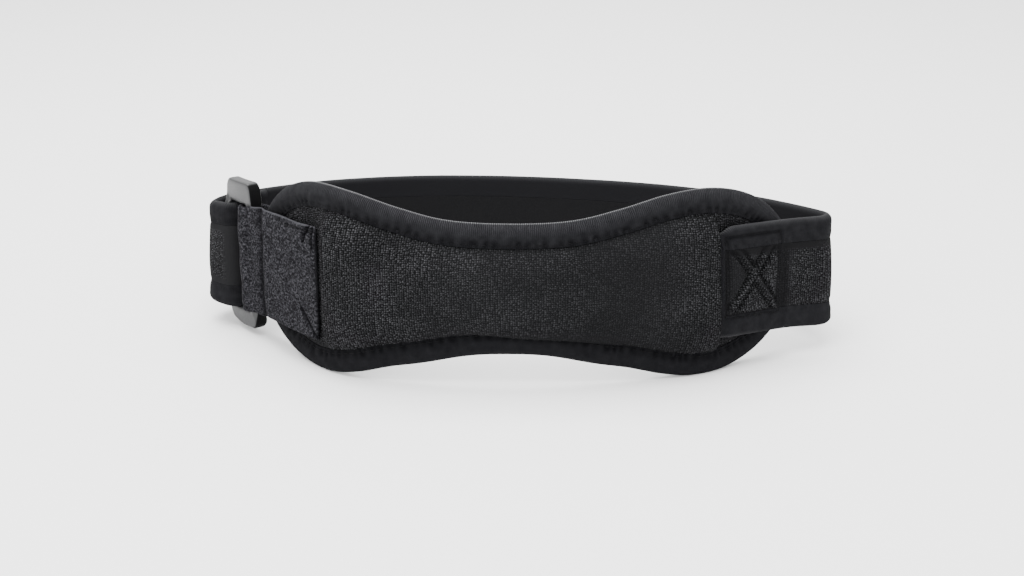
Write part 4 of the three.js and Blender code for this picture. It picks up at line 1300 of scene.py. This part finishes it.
strap_seam_z = STRAP_HEIGHT / 2 - STRAP_BIND_WIDTH + SEAM_FROM_EDGE
seam_runs = runs[runs > STRAP_SEAM_FROM]
sew("strap_binding_stitches", [
    wrap_strap(seam_runs, strap_half - STRAP_THREAD_SUNK, level * strap_seam_z) for level in (1, -1)
])

box_seams = []
for (s0, z0), (s1, z1) in box_lines:
    t = np.linspace(0, 1, 40)
    s, z = s0 + (s1 - s0) * t, z0 + (z1 - z0) * t
    on_knit = strap_half - BOX_THREAD_SUNK + strap_relief(s, z)
    on_face = np.where(np.abs(z) > bind_inner, strap_half - BOX_TAPE_SUNK, on_knit)
    box_seams.append(wrap_strap(s, on_face, z))
sew("box_stitches", box_seams, pitch=BOX_STITCH_PITCH, length=BOX_STITCH_LENGTH)

hem_s = np.linspace(tab_length - TAB_SEAM_FROM, tab_length - TAB_SEAM_END, 60)
tack_z = np.linspace(tab_top - TAB_HEM_INSET, tab_top - TAB_TACK_REACH, 20)
tack_s = tab_length - TAB_TACK_FROM_END - TAB_TACK_LEAN * np.linspace(0, 1, 20)
tab_seams = [
    (hem_s, tab_half - TAB_HEM_SUNK, tab_top - TAB_HEM_INSET),
    (0 * tack_z + tab_length - TAB_SEAM_END, tab_half - TAB_END_SUNK, tack_z),
    (tack_s, tab_half, tack_z),
]
sew("tab_stitches", [wrap(tab_path, s, n, z - TAB_DROP) for s, n, z in tab_seams])

# Table and light.
# A plain pale table, a broad soft light above and in front, and a pale room all round.
TABLE_CORNERS = [(-4, -2, 0), (4, -2, 0), (4, 6, 0), (-4, 6, 0)]
LOOP_MIDDLE = (0, 0, 0.03)
TABLE_COLOUR = (0.9, 0.9, 0.9, 1)
ROOM_COLOUR = (1, 1, 1, 1)
ROOM_STRENGTH = 1.75

table_mesh = bpy.data.meshes.new("table")
table_mesh.from_pydata(TABLE_CORNERS, [], [(0, 1, 2, 3)])
table = bpy.data.objects.new("table", table_mesh)
bpy.context.scene.collection.objects.link(table)
pale, tree, shader = new_material("pale_table", 0.6, 0.5)
shader.inputs["Base Color"].default_value = TABLE_COLOUR
table_mesh.materials.append(pale)

room = bpy.data.worlds.new("room")
room.use_nodes = True
room.node_tree.nodes["Background"].inputs[0].default_value = ROOM_COLOUR
room.node_tree.nodes["Background"].inputs[1].default_value = ROOM_STRENGTH
bpy.context.scene.world = room


def soft_light(name, place, size, power):
    """A rectangular lamp that faces the loop."""
    lamp = bpy.data.lights.new(name, "AREA")
    lamp.shape = "RECTANGLE"
    lamp.size, lamp.size_y = size
    lamp.energy = power
    light = bpy.data.objects.new(name, lamp)
    light.location = place
    towards_loop = Vector(LOOP_MIDDLE) - Vector(place)
    light.rotation_euler = towards_loop.to_track_quat("-Z", "Y").to_euler()
    bpy.context.scene.collection.objects.link(light)


soft_light("overhead", (-0.1, 0.0, 0.9), (1.0, 0.7), 24)
soft_light("from_the_left", (-0.9, -0.7, 0.5), (0.7, 0.9), 8)
soft_light("from_the_right", (0.9, -0.6, 0.5), (0.7, 0.9), 5)

# Camera.
# It looks at the middle of the loop from in front and a little above, as it is shown.
LENS_WIDTHS = 1400 / 1024
SENSOR_WIDTH = 36
CAMERA_ACROSS = -0.0028
CAMERA_DEPTH = 0.0021
CAMERA_DISTANCE = 0.4607
CAMERA_PITCH = 16

tilt = math.radians(CAMERA_PITCH)
target = np.array([CAMERA_ACROSS, CAMERA_DEPTH, 0])
eye = target + CAMERA_DISTANCE * np.array([0, -math.cos(tilt), math.sin(tilt)])
camera_data = bpy.data.cameras.new("camera")
camera_data.sensor_width = SENSOR_WIDTH
camera_data.lens = SENSOR_WIDTH * LENS_WIDTHS
camera = bpy.data.objects.new("camera", camera_data)
bpy.context.scene.collection.objects.link(camera)
eye_world = Vector(lean @ eye + loop_offset)
target_world = Vector(lean @ target + loop_offset)
forward = (target_world - eye_world).normalized()
right = forward.cross(Vector(lean @ np.array([0, 0, 1.0]))).normalized()
upward = right.cross(forward)
camera.matrix_world = Matrix(
    [[right[k], upward[k], -forward[k], eye_world[k]] for k in range(3)] + [[0, 0, 0, 1]]
)
bpy.context.scene.camera = camera
